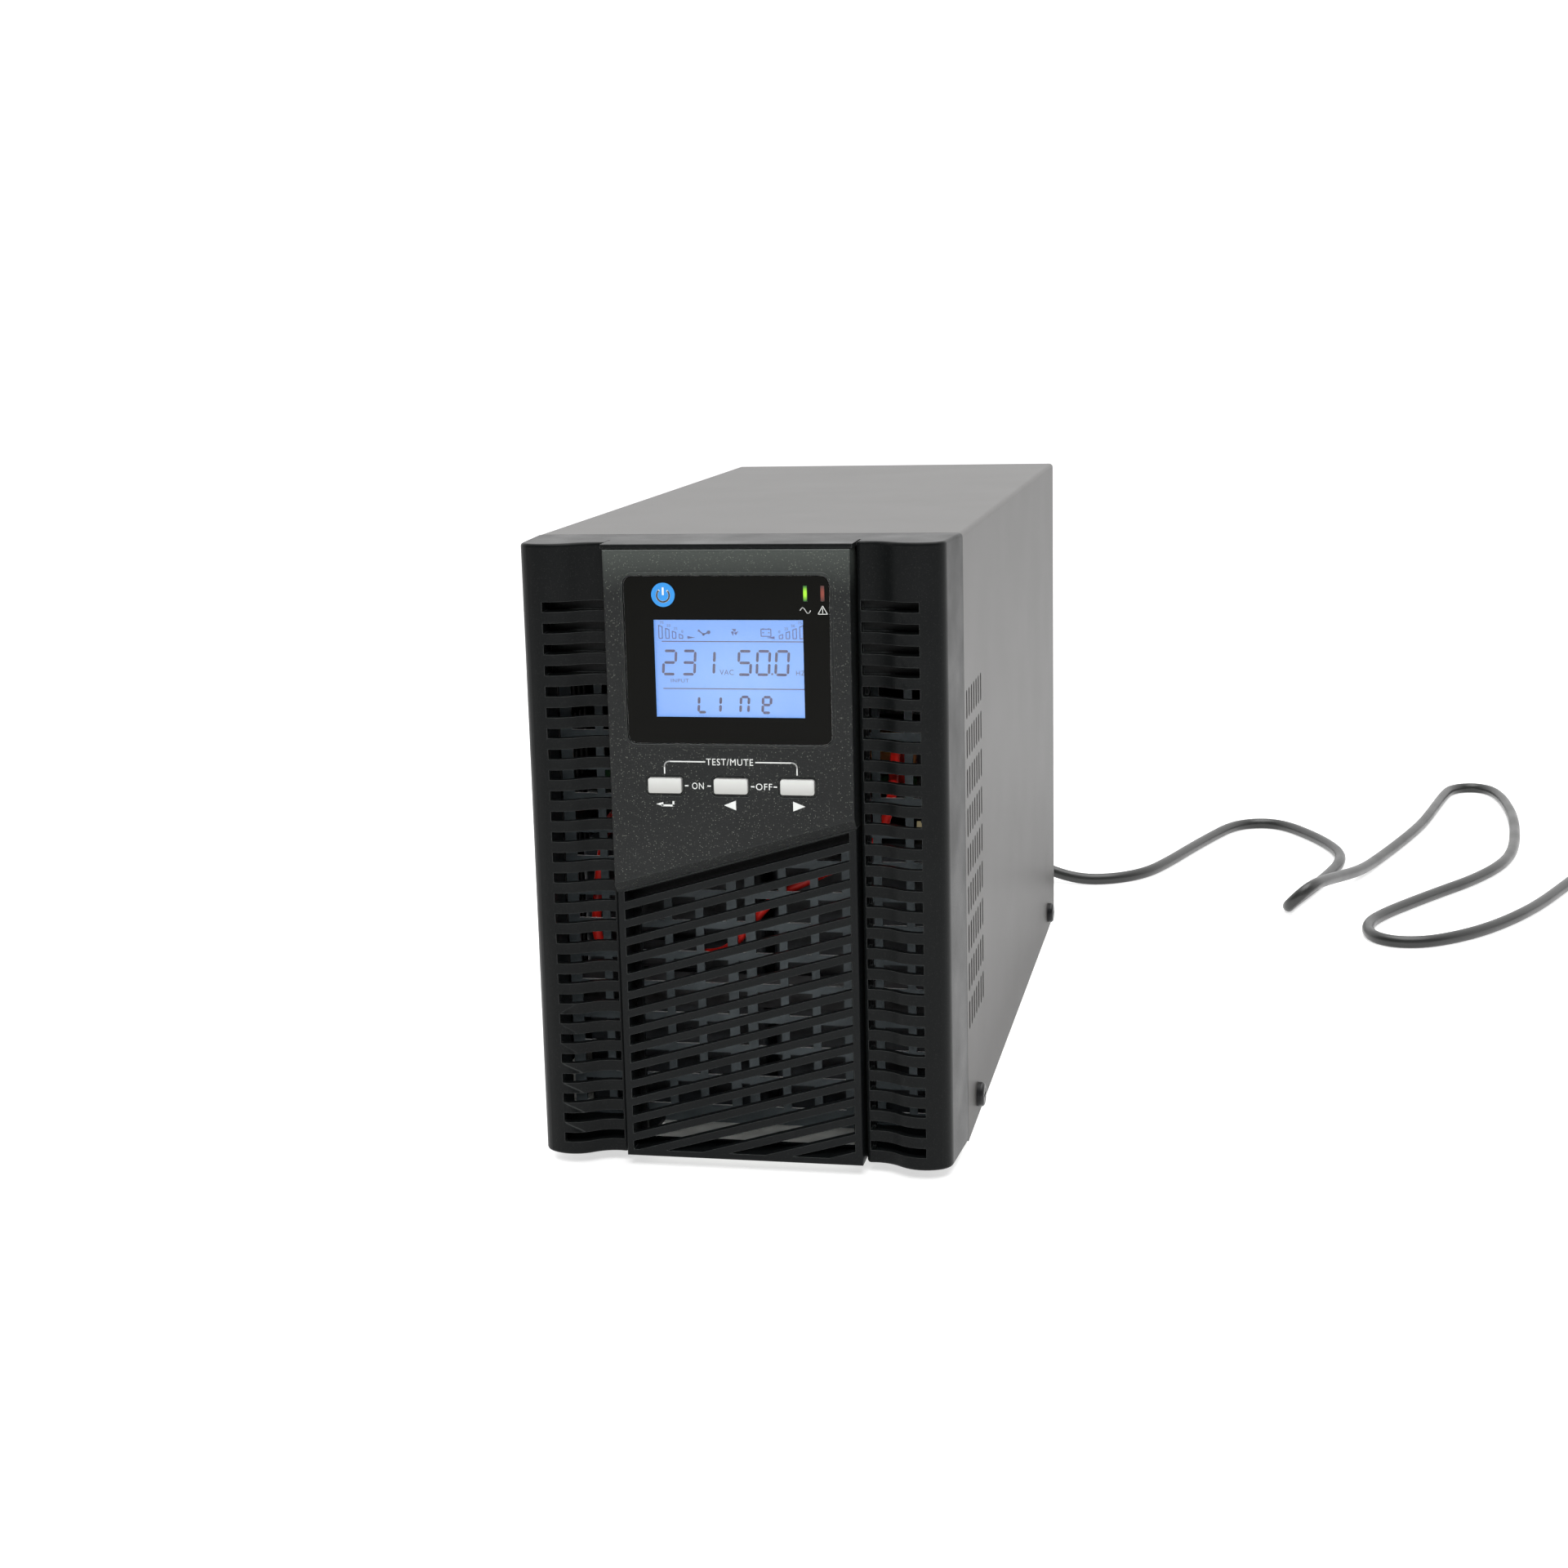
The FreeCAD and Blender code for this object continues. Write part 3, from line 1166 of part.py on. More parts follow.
def battery_bracket():
    """The steel strap across the battery fronts, bent down to the floor pan at both ends."""
    x = BATTERY_X + BATTERY_W / 2 + 0.4
    y0, y1 = BATTERY_Y + STRAP_Y[0], BATTERY_Y + STRAP_Y[1]
    z0, z1 = STRAP_Z
    back = BATTERY_Y + STRAP_REACH
    strap = block((-x - STRAP_T, y0, z0), (x + STRAP_T, y1, z1))
    ends = both_sides(block((x, y0, z0), (x + STRAP_T, back, z1)))
    legs = both_sides(block((x, BATTERY_Y + STRAP_LEG_Y, STEEL), (x + STRAP_T, back, z1)))
    return fuse([strap] + ends + legs)


def lead(points, radius):
    """A round lead that follows straight runs joined by tangent arcs, with its shortest arc radius and length."""
    corners = [Vector(*p) for p in points]
    edges = []
    radii = []
    last = corners[0]
    for before, at, after in zip(corners, corners[1:], corners[2:]):
        a, b = before - at, after - at
        run = min(a.Length, b.Length)
        a.normalize()
        b.normalize()
        half_turn = (math.pi - a.getAngle(b)) / 2
        set_back = BEND_SHARE * run
        bend = set_back / math.tan(half_turn)
        start, end = at + a * set_back, at + b * set_back
        bisector = (a + b).normalize()
        middle = at + bisector * (bend / math.cos(half_turn) - bend)
        edges.append(Part.LineSegment(last, start).toShape())
        edges.append(Part.Arc(start, middle, end).toShape())
        radii.append(bend)
        last = end
    edges.append(Part.LineSegment(last, corners[-1]).toShape())
    path = Part.Wire(edges)
    first = (corners[1] - corners[0]).normalize()
    section = Part.Wire(Part.makeCircle(radius, corners[0], first))
    tube = path.makePipeShell([section], True, True)
    expected = math.pi * radius**2 * path.Length
    print("  lead: length", round(path.Length, 1), "volume / section x length", round(tube.Volume / expected, 4))
    print("  lead: arc radii", [round(r, 1) for r in radii])
    return tube


def fuse_holder():
    """The in-line fuse holder clipped in front of the batteries."""
    return rod((FUSE_X[0], FUSE_Y, FUSE_Z), AXIS_X, FUSE_R, FUSE_X[1] - FUSE_X[0])


def battery_lead_red():
    """The positive lead: from the fuse holder up across the battery fronts to the main board."""
    route = [
        (FUSE_X[1], FUSE_Y, FUSE_Z),
        (FUSE_X[1] + 10, FUSE_Y, FUSE_Z + 1),
        (-6.0, 43.5, 70.0),
        (4.0, 43.0, 82.0),
        (20.0, 43.0, 90.0),
        (35.0, 43.0, 97.0),
        (43.0, 43.0, 107.0),
        (46.0, 44.0, 119.0),
        (46.0, 48.0, 130.0),
        (46.0, 57.0, 134.0),
        (46.0, 64.0, 128.0),
        (46.0, 65.0, MAIN_BOARD_Z + PCB_T),
    ]
    return lead(route, LEAD_R)


def fuse_lead():
    """The short length of the positive lead from the left battery to the fuse holder."""
    tab_z = BATTERY_Z + BATTERY_H + BATTERY_LID_H + TAB_H
    x, y = tab_places()[0]
    route = [
        (x, y, tab_z),
        (x, y - 2.0, tab_z + 2.6),
        (x - 1.0, y - 11.0, tab_z + 1.4),
        (x - 2.5, 45.0, tab_z - 8.0),
        (x - 4.5, FUSE_Y, tab_z - 20.0),
        (x - 6.0, FUSE_Y, FUSE_Z + 10),
        (x - 5.0, FUSE_Y, FUSE_Z + 2.5),
        (FUSE_X[0], FUSE_Y, FUSE_Z),
    ]
    return lead(route, LEAD_R)


def battery_link():
    """The short link that joins the two batteries in series."""
    tab_z = BATTERY_Z + BATTERY_H + BATTERY_LID_H + TAB_H
    (x0, y0), (x1, y1) = tab_places()[1], tab_places()[2]
    middle = (x0 + x1) / 2
    route = [
        (x0, y0, tab_z),
        (x0 + 1.5, y0 - 4.0, tab_z + 2.0),
        (middle - 6.0, y0 - 9.0, tab_z + 2.5),
        (middle + 6.0, y0 - 9.0, tab_z + 2.3),
        (x1 - 1.5, y1 - 4.0, tab_z + 2.0),
        (x1, y1, tab_z),
    ]
    return lead(route, LEAD_R)


def battery_lead_black():
    """The negative lead from the right battery to the main board."""
    tab_z = BATTERY_Z + BATTERY_H + BATTERY_LID_H + TAB_H
    x, y = tab_places()[3]
    route = [
        (x, y, tab_z),
        (x + 0.5, y - 3.0, tab_z + 2.6),
        (x + 1.5, y - 11.0, tab_z + 1.8),
        (x + 2.5, 45.5, tab_z + 8.0),
        (x + 1.0, 45.5, tab_z + 18.0),
        (x + 0.5, 50.0, tab_z + 26.0),
        (x, 58.0, tab_z + 27.0),
        (x - 0.5, 64.0, tab_z + 21.0),
        (x - 0.5, 65.0, MAIN_BOARD_Z + PCB_T),
    ]
    return lead(route, LEAD_R)


def board_shelf():
    """The steel shelf over the batteries that carries the main board, with a flange down each side."""
    half = HALF_W - STEEL - 2 * GAP
    y0, y1 = SHELF_Y[0] + SHELF_INSET, SHELF_Y[1]
    shelf = block((-half, y0, SHELF_Z), (half, y1, SHELF_Z + STEEL))
    flanges = both_sides(block((half - STEEL, y0, SHELF_Z - SHELF_FLANGE), (half, y1, SHELF_Z + STEEL)))
    return fuse([shelf] + flanges)


def standoff_places():
    """Middle of each post under the main board."""
    reach = MAIN_BOARD_W / 2 - STANDOFF_INSET
    return [(x, y) for x in (-reach, reach) for y in STANDOFF_Y]


def board_standoffs():
    """The posts between shelf and main board."""
    z0 = SHELF_Z + STEEL
    return [rod((x, y, z0), AXIS_Z, STANDOFF_R, MAIN_BOARD_Z - z0) for x, y in standoff_places()]


def main_board():
    """The main printed circuit board."""
    half = MAIN_BOARD_W / 2
    low = (-half, MAIN_BOARD_Y[0], MAIN_BOARD_Z)
    high = (half, MAIN_BOARD_Y[1], MAIN_BOARD_Z + PCB_T)
    board = soft_block(low, high, 2.0, AXIS_Z)
    low_z = MAIN_BOARD_Z - 1
    return board.cut([rod((x, y, low_z), AXIS_Z, BOARD_HOLE_R, PCB_T + 2) for x, y in standoff_places()])


def heatsinks():
    """Two finned bars that stand on the main board along the air stream, fins outwards."""
    z0 = MAIN_BOARD_Z + PCB_T
    y0, y1 = HEATSINK_Y
    face = HEATSINK_X + HEATSINK_WEB
    web = block((HEATSINK_X, y0, z0), (face, y1, z0 + HEATSINK_H))
    fins = []
    for number in range(HEATSINK_FINS):
        z = z0 + FIN_FIRST + number * FIN_PITCH
        fins.append(block((face - 1, y0, z), (face + FIN_REACH, y1, z + FIN_T)))
    return both_sides(fuse([web] + fins))


def power_transistors():
    """Ten flat power transistors clamped to the inner faces of the heatsinks."""
    z0 = MAIN_BOARD_Z + PCB_T + TRANSISTOR_Z
    thick, wide, tall = TRANSISTOR_SIZE
    devices = []
    for number in range(TRANSISTORS):
        y = HEATSINK_Y[0] + TRANSISTOR_FIRST + number * TRANSISTOR_PITCH
        devices += both_sides(block((HEATSINK_X - thick, y, z0), (HEATSINK_X, y + wide, z0 + tall)))
    return devices


def bus_capacitors():
    """Three tall electrolytic capacitors in the middle of the board."""
    z0 = MAIN_BOARD_Z + PCB_T
    cans = []
    for y in CAPACITOR_Y:
        can = rod((0, y, z0), AXIS_Z, CAPACITOR_R, CAPACITOR_H)
        cans.append(can.makeFillet(1.2, [e for e in can.Edges if e.BoundBox.ZMin > z0 + CAPACITOR_H / 2]))
    return cans


def power_inductors():
    """Two wound rings near the front of the board and one near its back."""
    z = MAIN_BOARD_Z + PCB_T + INDUCTOR_WIRE_R
    return [Part.makeTorus(INDUCTOR_R, INDUCTOR_WIRE_R, Vector(x, y, z), AXIS_Z) for x, y in INDUCTOR_AT]


def power_transformer():
    """The high-frequency transformer: winding bobbin through a two-legged ferrite core."""
    z0 = MAIN_BOARD_Z + PCB_T
    y0, y1 = CORE_Y
    inner, outer = CORE_WINDOW_X
    low, high = z0 + CORE_WINDOW_Z[0], z0 + CORE_WINDOW_Z[1]
    frame = block((-CORE_HALF, y0, z0), (CORE_HALF, y1, z0 + CORE_H))
    core = frame.cut(both_sides(block((inner, y0 - 1, low), (outer, y1 + 1, high))))
    low, high = low + BOBBIN_FIT, high - BOBBIN_FIT
    bobbin = block((-BOBBIN_HALF, BOBBIN_Y[0], low), (BOBBIN_HALF, BOBBIN_Y[1], high)).cut(frame)
    windings = both_sides(block((inner + 0.2, y0 - 0.1, low), (BOBBIN_HALF, y1 + 0.1, high)))
    return [core, fuse([bobbin] + windings)]


def relays():
    """Four sealed relays in a row near the back of the board."""
    z0 = MAIN_BOARD_Z + PCB_T
    wide, deep, tall = RELAY_SIZE
    cubes = []
    for x in RELAY_X:
        cubes.append(soft_block((x, RELAY_Y, z0), (x + wide, RELAY_Y + deep, z0 + tall), 0.8, AXIS_Z))
    return cubes


def display_ribbon():
    """The flat ribbon from the display board back over the front plate to the main board."""
    half = RIBBON_W / 2
    t = RIBBON_T
    top = PLATE_TOP + 4.0
    board_y = BOARD_Y + PCB_T
    down_y = RIBBON_DOWN_Y
    foot_y0, foot_y1 = RIBBON_FOOT_Y
    foot_z = RIBBON_FOOT_Z
    pieces = [
        block((-half, board_y, RIBBON_LOW_Z), (half, board_y + t, top)),
        block((-half, board_y, top - t), (half, down_y, top)),
        block((-half, down_y - t, foot_z), (half, down_y, top)),
        block((-half, down_y - t, foot_z), (half, foot_y1, foot_z + t)),
        block((-half, foot_y0, MAIN_BOARD_Z + PCB_T), (half, foot_y1, foot_z + t)),
    ]
    return fuse(pieces)


# ================================================================ mains lead


def strain_relief():
    """The tapered rubber sleeve that holds the mains lead in the rear panel, ribbed for flexing."""
    root, tip = RELIEF_R
    start = BODY_D + COLLAR_T
    collar = rod((CORD_X, BODY_D, CORD_Z), AXIS_Y, root + COLLAR_PROUD, COLLAR_T)
    collar = collar.makeFillet(0.8, [e for e in collar.Edges if e.BoundBox.YMin > BODY_D + 2])
    neck = rod((CORD_X, BODY_D - 8, CORD_Z), AXIS_Y, root - 1.2, 8)
    sleeve = Part.makeCone(root, tip, RELIEF_LENGTH - COLLAR_T, Vector(CORD_X, start, CORD_Z), AXIS_Y)
    grooves = []
    for number in range(RELIEF_GROOVES):
        y = BODY_D + GROOVE_FIRST + number * GROOVE_PITCH
        ring = rod((CORD_X, y, CORD_Z), AXIS_Y, root + COLLAR_PROUD, GROOVE_W)
        grooves.append(ring.cut(rod((CORD_X, y - 1, CORD_Z), AXIS_Y, tip - 0.2, GROOVE_W + 2)))
    return fuse([collar, neck, sleeve.cut(grooves)])


def cord_route():
    """The lead's route: out of the strain relief, down to the floor, in loose loops over it and into the coil."""
    down = [
        (CORD_X, BODY_D + RELIEF_LENGTH, CORD_Z),
        (CORD_X, 396.5, 33.0),
        (CORD_X, 414.0, 26.5),
        (31.0, 427.5, 17.5),
        (44.0, 435.5, 8.5),
        (59.0, 435.0, 0.0),
    ]
    floor = [
        (77.0, 427.5),
        (94.0, 430.5),
        (109.0, 445.0),
        (119.0, 471.0),
        (129.0, 503.0),
        (139.0, 532.0),
        (147.0, 553.5),
        (155.5, 563.5),
        (166.5, 566.5),
        (176.5, 561.0),
        (186.0, 546.0),
        (196.5, 524.0),
        (204.0, 500.0),
        (204.5, 478.0),
        (198.0, 449.0),
        (188.5, 417.0),
        (181.5, 395.0),
    ]
    fold = [
        (177.7, 380.6, CORD_FLOOR),
        (182.0, 374.5, CORD_FLOOR + 6.3),
        (188.7, 378.0, CORD_FLOOR + 11.5),
        (195.0, 396.0, CORD_FLOOR + 10.0),
        (204.0, 425.0, CORD_FLOOR + 5.5),
        (214.5, 456.0, CORD_FLOOR + 1.5),
    ]
    loops = [
        (225.0, 492.0),
        (237.0, 530.0),
        (248.5, 570.0),
        (256.0, 606.0),
        (262.0, 636.0),
        (265.5, 652.0),
        (268.5, 663.0),
        (275.0, 671.0),
        (284.0, 672.5),
        (291.0, 666.0),
        (294.5, 654.0),
        (297.0, 632.0),
        (298.0, 592.0),
        (295.0, 545.0),
        (290.0, 505.0),
        (281.0, 474.0),
        (266.0, 444.0),
        (250.0, 420.0),
        (235.5, 397.0),
        (223.5, 377.0),
        (215.5, 360.0),
        (213.5, 345.0),
        (216.0, 332.0),
        (224.5, 324.5),
        (236.5, 325.0),
        (249.0, 333.0),
        (264.0, 348.5),
        (279.0, 371.0),
        (293.0, 398.0),
        (306.0, 430.0),
        (320.0, 466.0),
        (334.0, 495.0),
        (345.0, 520.0),
    ]
    on_floor = [(x, y, CORD_FLOOR) for x, y in loops + [(COIL_CENTRE[0] - COIL_TURN_R, COIL_CENTRE[1])]]
    return down + [(x, y, CORD_FLOOR) for x, y in floor] + fold + on_floor


def tail_route():
    """The last of the lead, from the top of the coil to the plug."""
    x, y = COIL_CENTRE
    top = CORD_FLOOR + CORD_D * (COIL_LAYERS - 1)
    return [
        (x + COIL_TURN_R, y, top),
        (x + COIL_TURN_R + 0.3, y - 14.0, top + 1.0),
        (x + COIL_TURN_R + 1.5, y - 29.0, PLUG_Z - 4.0),
        (PLUG_X, y - 43.0, PLUG_Z - 0.4),
        (PLUG_X, PLUG_FACE_Y + PLUG_HEAD + PLUG_GRIP + PLUG_TAPER, PLUG_Z),
    ]


def cord_coil():
    """The outer shape of the wound rest of the lead."""
    x, y = COIL_CENTRE
    height = CORD_D * COIL_LAYERS
    outer = rod((x, y, FLOOR_Z), AXIS_Z, COIL_TURN_R + CORD_R, height)
    return outer.cut(rod((x, y, FLOOR_Z - 1), AXIS_Z, COIL_TURN_R - CORD_R, height + 2))


def coil_tie():
    """The band that holds the turns together, at the back of the coil and clear of the floor."""
    x, y = COIL_CENTRE
    side = CORD_R + 0.1 + TIE_T
    back = y + COIL_TURN_R
    top = FLOOR_Z + CORD_D * COIL_LAYERS + TIE_T
    band = block((x - TIE_W / 2, back - side, FLOOR_Z), (x + TIE_W / 2, back + side, top)).cut(cord_coil())
    return max(band.Solids, key=lambda piece: piece.Volume)


def mains_plug():
    """The moulded plug on its side: round head with two flats, narrower grip and tapered sleeve."""
    x, y, z = PLUG_X, PLUG_FACE_Y, PLUG_Z
    head = rod((x, y, z), AXIS_Y, PLUG_R, PLUG_HEAD)
    head = head.makeFillet(1.5, [e for e in head.Edges if e.BoundBox.YMin > y + PLUG_HEAD - GAP])
    grip = Part.makeCone(PLUG_R - 3, PLUG_GRIP_R, PLUG_GRIP, Vector(x, y + PLUG_HEAD, z), AXIS_Y)
    taper_y = y + PLUG_HEAD + PLUG_GRIP
    taper = Part.makeCone(RELIEF_R[0], RELIEF_R[1], PLUG_TAPER, Vector(x, taper_y, z), AXIS_Y)
    flats = []
    for side in SIDES:
        middle = z + side * (PLUG_R - EARTH_SINK + FLAT_H / 2)
        low = (x - FLAT_HALF, y - 1, middle - FLAT_H / 2)
        flats.append(block(low, (x + FLAT_HALF, y + PLUG_HEAD - 2, middle + FLAT_H / 2)))
    return fuse([head, grip, taper]).cut(flats)


def plug_contacts():
    """The two round pins and the two earth strips of the plug."""
    y, z = PLUG_FACE_Y, PLUG_Z
    contacts = []
    for side in SIDES:
        x = PLUG_X + side * PIN_SPACING / 2
        pin = rod((x, y - PIN_LENGTH, z), AXIS_Y, PIN_R, PIN_LENGTH)
        contacts.append(pin.makeFillet(1.2, [e for e in pin.Edges if e.BoundBox.YMax < y - PIN_LENGTH + GAP]))
        faces = sorted((z + side * (PLUG_R - EARTH_SINK), z + side * (PLUG_R - EARTH_SINK + EARTH_T)))
        low = (PLUG_X - EARTH_W / 2, y, faces[0])
        contacts.append(block(low, (PLUG_X + EARTH_W / 2, y + PLUG_HEAD - 2.0, faces[1])))
    return contacts


def build():
    """Builds every piece and writes its file."""
    places = button_places()
    save("front_bezel", front_bezel())
    save("control_panel", control_panel())
    save("lower_grille", lower_grille())
    save("lcd_window", lcd_window())
    save("lcd_module", lcd_module())
    save("led_pipe_green", light_pipe(PIPE_X[0]))
    save("led_pipe_red", light_pipe(PIPE_X[1]))
    for name, place in zip(("enter", "left", "right"), places):
        save(name + "_button", push_button(place))
        save(name + "_plunger", switch_plunger(place))
    save("tact_switches", tact_switches())
    save("display_board", display_board())
    save("front_plate", front_plate())
    save("chassis_base", chassis_base())
    save("top_cover", top_cover())
    save("cover_screws", cover_screws())
    save("rubber_feet", rubber_feet())
    save("rear_panel", rear_panel())
    save("fan_frame", fan_frame())
    save("fan_rotor", fan_rotor())
    save("fan_guard", fan_guard())
    save("fan_screws", fan_screws())
    for name, x in zip(("left", "middle", "right"), OUTLET_X):
        save("outlet_" + name, outlet(x))
    save("breaker_body", breaker_body())
    save("breaker_button", breaker_button())
    save("serial_port", serial_port())
    save("usb_port", usb_port())
    save("surge_jacks", surge_jacks())
    save("slot_cover", slot_cover())
    save("slot_cover_screws", slot_cover_screws())
    save("battery_left", battery(-1))
    save("battery_right", battery(1))
    save("battery_terminals", battery_terminals())
    save("battery_bracket", battery_bracket())
    save("battery_link", battery_link())
    save("battery_lead_red", [battery_lead_red(), fuse_lead()])
    save("battery_lead_black", battery_lead_black())
    save("fuse_holder", fuse_holder())
    save("board_shelf", board_shelf())
    save("board_standoffs", board_standoffs())
    save("main_board", main_board())
    save("heatsinks", heatsinks())
    save("power_transistors", power_transistors())
    save("bus_capacitors", bus_capacitors())
    save("power_inductors", power_inductors())
    save("power_transformer", power_transformer())
    save("relays", relays())
    save("display_ribbon", display_ribbon())
    save("strain_relief", strain_relief())
    save("mains_cord", [lead(cord_route(), CORD_R), lead(tail_route(), CORD_R)])
    save("cord_coil", cord_coil())
    save("coil_tie", coil_tie())
    save("mains_plug", mains_plug())
    save("plug_contacts", plug_contacts())


build()
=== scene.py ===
"""A desk uninterruptible power supply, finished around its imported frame.

Every length is in metres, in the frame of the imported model: x to the right seen from the front, y towards the
back and z up, with the origin under the middle of the unit on the surface that it stands on.
"""

import logging
import math
from collections.abc import Iterable
from dataclasses import dataclass, field, replace
from enum import Enum
from typing import ClassVar

import bmesh
import bpy
from mathutils import Matrix, Vector


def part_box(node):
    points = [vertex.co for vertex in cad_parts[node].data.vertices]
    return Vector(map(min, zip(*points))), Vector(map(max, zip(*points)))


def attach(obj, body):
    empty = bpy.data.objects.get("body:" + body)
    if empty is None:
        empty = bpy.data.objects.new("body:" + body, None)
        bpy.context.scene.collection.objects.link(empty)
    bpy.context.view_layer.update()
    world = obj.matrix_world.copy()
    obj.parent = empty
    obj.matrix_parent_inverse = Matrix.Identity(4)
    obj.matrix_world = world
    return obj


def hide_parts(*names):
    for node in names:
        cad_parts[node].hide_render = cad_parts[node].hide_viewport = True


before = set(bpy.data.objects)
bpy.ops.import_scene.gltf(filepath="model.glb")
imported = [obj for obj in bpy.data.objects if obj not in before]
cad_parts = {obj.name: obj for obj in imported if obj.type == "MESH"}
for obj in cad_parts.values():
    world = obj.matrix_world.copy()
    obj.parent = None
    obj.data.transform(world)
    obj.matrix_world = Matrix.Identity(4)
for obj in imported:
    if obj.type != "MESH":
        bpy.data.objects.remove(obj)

LOG = logging.getLogger("power_supply")
MM = 0.001
HOUSING = "housing"
BEVEL = {"profile": 0.5, "affect": "EDGES", "material": -1}
CLOSE = 1e-7

Colour = tuple[float, float, float]
Triple = tuple[float, float, float]
Place = tuple[float, float]


def solid(colour: Colour) -> tuple[float, float, float, float]:
    """Give a colour its full opacity."""
    return (*colour, 1.0)


def middle_of(node: str) -> Vector:
    """Give the middle of a node's box."""
    low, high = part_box(node)
    return (low + high) / 2


# ------------------------------------------------------------------ finishes


class Sheet:
    """A material's node tree, with short calls that add and join its nodes."""

    def __init__(self, name: str) -> None:
        """Start a material that holds one surface shader.

        Args:
            name: Name of the material.
        """
        self.material = bpy.data.materials.new(name)
        self.material.use_nodes = True
        self.tree = self.material.node_tree
        self.surface = next(n for n in self.tree.nodes if n.type == "BSDF_PRINCIPLED")
        coordinates = self.tree.nodes.new("ShaderNodeTexCoord")
        self.place = coordinates.outputs["Object"]
        self.facing = coordinates.outputs["Normal"]

    def set(self, **values: object) -> None:
        """Set sockets of the surface shader, with underscores for the spaces of their names."""
        for name, value in values.items():
            self.surface.inputs[name.replace("_", " ")].default_value = value

    def add(self, kind: str, inputs: dict[str | int, object] | None = None, **settings: object) -> bpy.types.Node:
        """Add a node.

        Args:
            kind: Type of the node.
            inputs: Values or output sockets for its input sockets, by name or index.
            settings: Values of its own properties.

        Returns:
            The new node.
        """
        node = self.tree.nodes.new(kind)
        for name, value in settings.items():
            setattr(node, name, value)
        for key, value in (inputs or {}).items():
            if isinstance(value, bpy.types.NodeSocket):
                self.tree.links.new(value, node.inputs[key])
            else:
                node.inputs[key].default_value = value
        return node

    def noise(self, scale: float, detail: float = 2.0, stretch: Triple | None = None) -> bpy.types.NodeSocket:
        """Add noise in the object's own coordinates, drawn out along the axes with a small stretch.

        Args:
            scale: How many waves go into a metre.
            detail: How much finer noise is laid over it.
            stretch: Factor for each axis, or nothing for an even noise.

        Returns:
            The noise, from 0 to 1.
        """
        place = self.place
        if stretch:
            place = self.add("ShaderNodeMapping", {"Vector": place, "Scale": stretch}).outputs["Vector"]
        node = self.add("ShaderNodeTexNoise", {"Vector": place, "Scale": scale, "Detail": detail})
        return node.outputs["Fac"]

    def ramp(self, value: bpy.types.NodeSocket, low: float, high: float, a: float, b: float) -> bpy.types.NodeSocket:
        """Turn a value between low and high into one between a and b, and hold it there outside them.

        Args:
            value: The value to turn.
            low: Value that gives a.
            high: Value that gives b.
            a: Result at low.
            b: Result at high.

        Returns:
            The turned value.
        """
        inputs = {"Value": value, "From Min": low, "From Max": high, "To Min": a, "To Max": b}
        return self.add("ShaderNodeMapRange", inputs, clamp=True).outputs["Result"]

    def rise(self, value: bpy.types.NodeSocket, span: Place) -> bpy.types.NodeSocket:
        """Turn a value into one that goes from 0 to 1 over a span."""
        return self.ramp(value, *span, 0.0, 1.0)

    def rounded(self, radius: float) -> bpy.types.NodeSocket:
        """Give the normal of the surface with its edges rounded."""
        return self.add("ShaderNodeBevel", {"Radius": radius}, samples=4).outputs[0]

    def maths(self, operation: str, a: object, b: object) -> bpy.types.NodeSocket:
        """Combine two values.

        Args:
            operation: Name of the sum to do.
            a: First value.
            b: Second value.

        Returns:
            The result.
        """
        return self.add("ShaderNodeMath", {0: a, 1: b}, operation=operation).outputs[0]

    def blend(self, factor: object, a: object, b: object) -> bpy.types.NodeSocket:
        """Mix two colours by a factor.

        Args:
            factor: 0 for the first colour and 1 for the second.
            a: First colour.
            b: Second colour.

        Returns:
            The mixed colour.
        """
        return self.add("ShaderNodeMix", {"Factor": factor, 6: a, 7: b}, data_type="RGBA").outputs[2]

    def split(self, vector: bpy.types.NodeSocket) -> list[bpy.types.NodeSocket]:
        """Part a vector into its x, y and z."""
        return list(self.add("ShaderNodeSeparateXYZ", {"Vector": vector}).outputs)

    def join(self, output: bpy.types.NodeSocket, name: str) -> None:
        """Join a socket to one of the surface shader's inputs."""
        self.tree.links.new(output, self.surface.inputs[name])


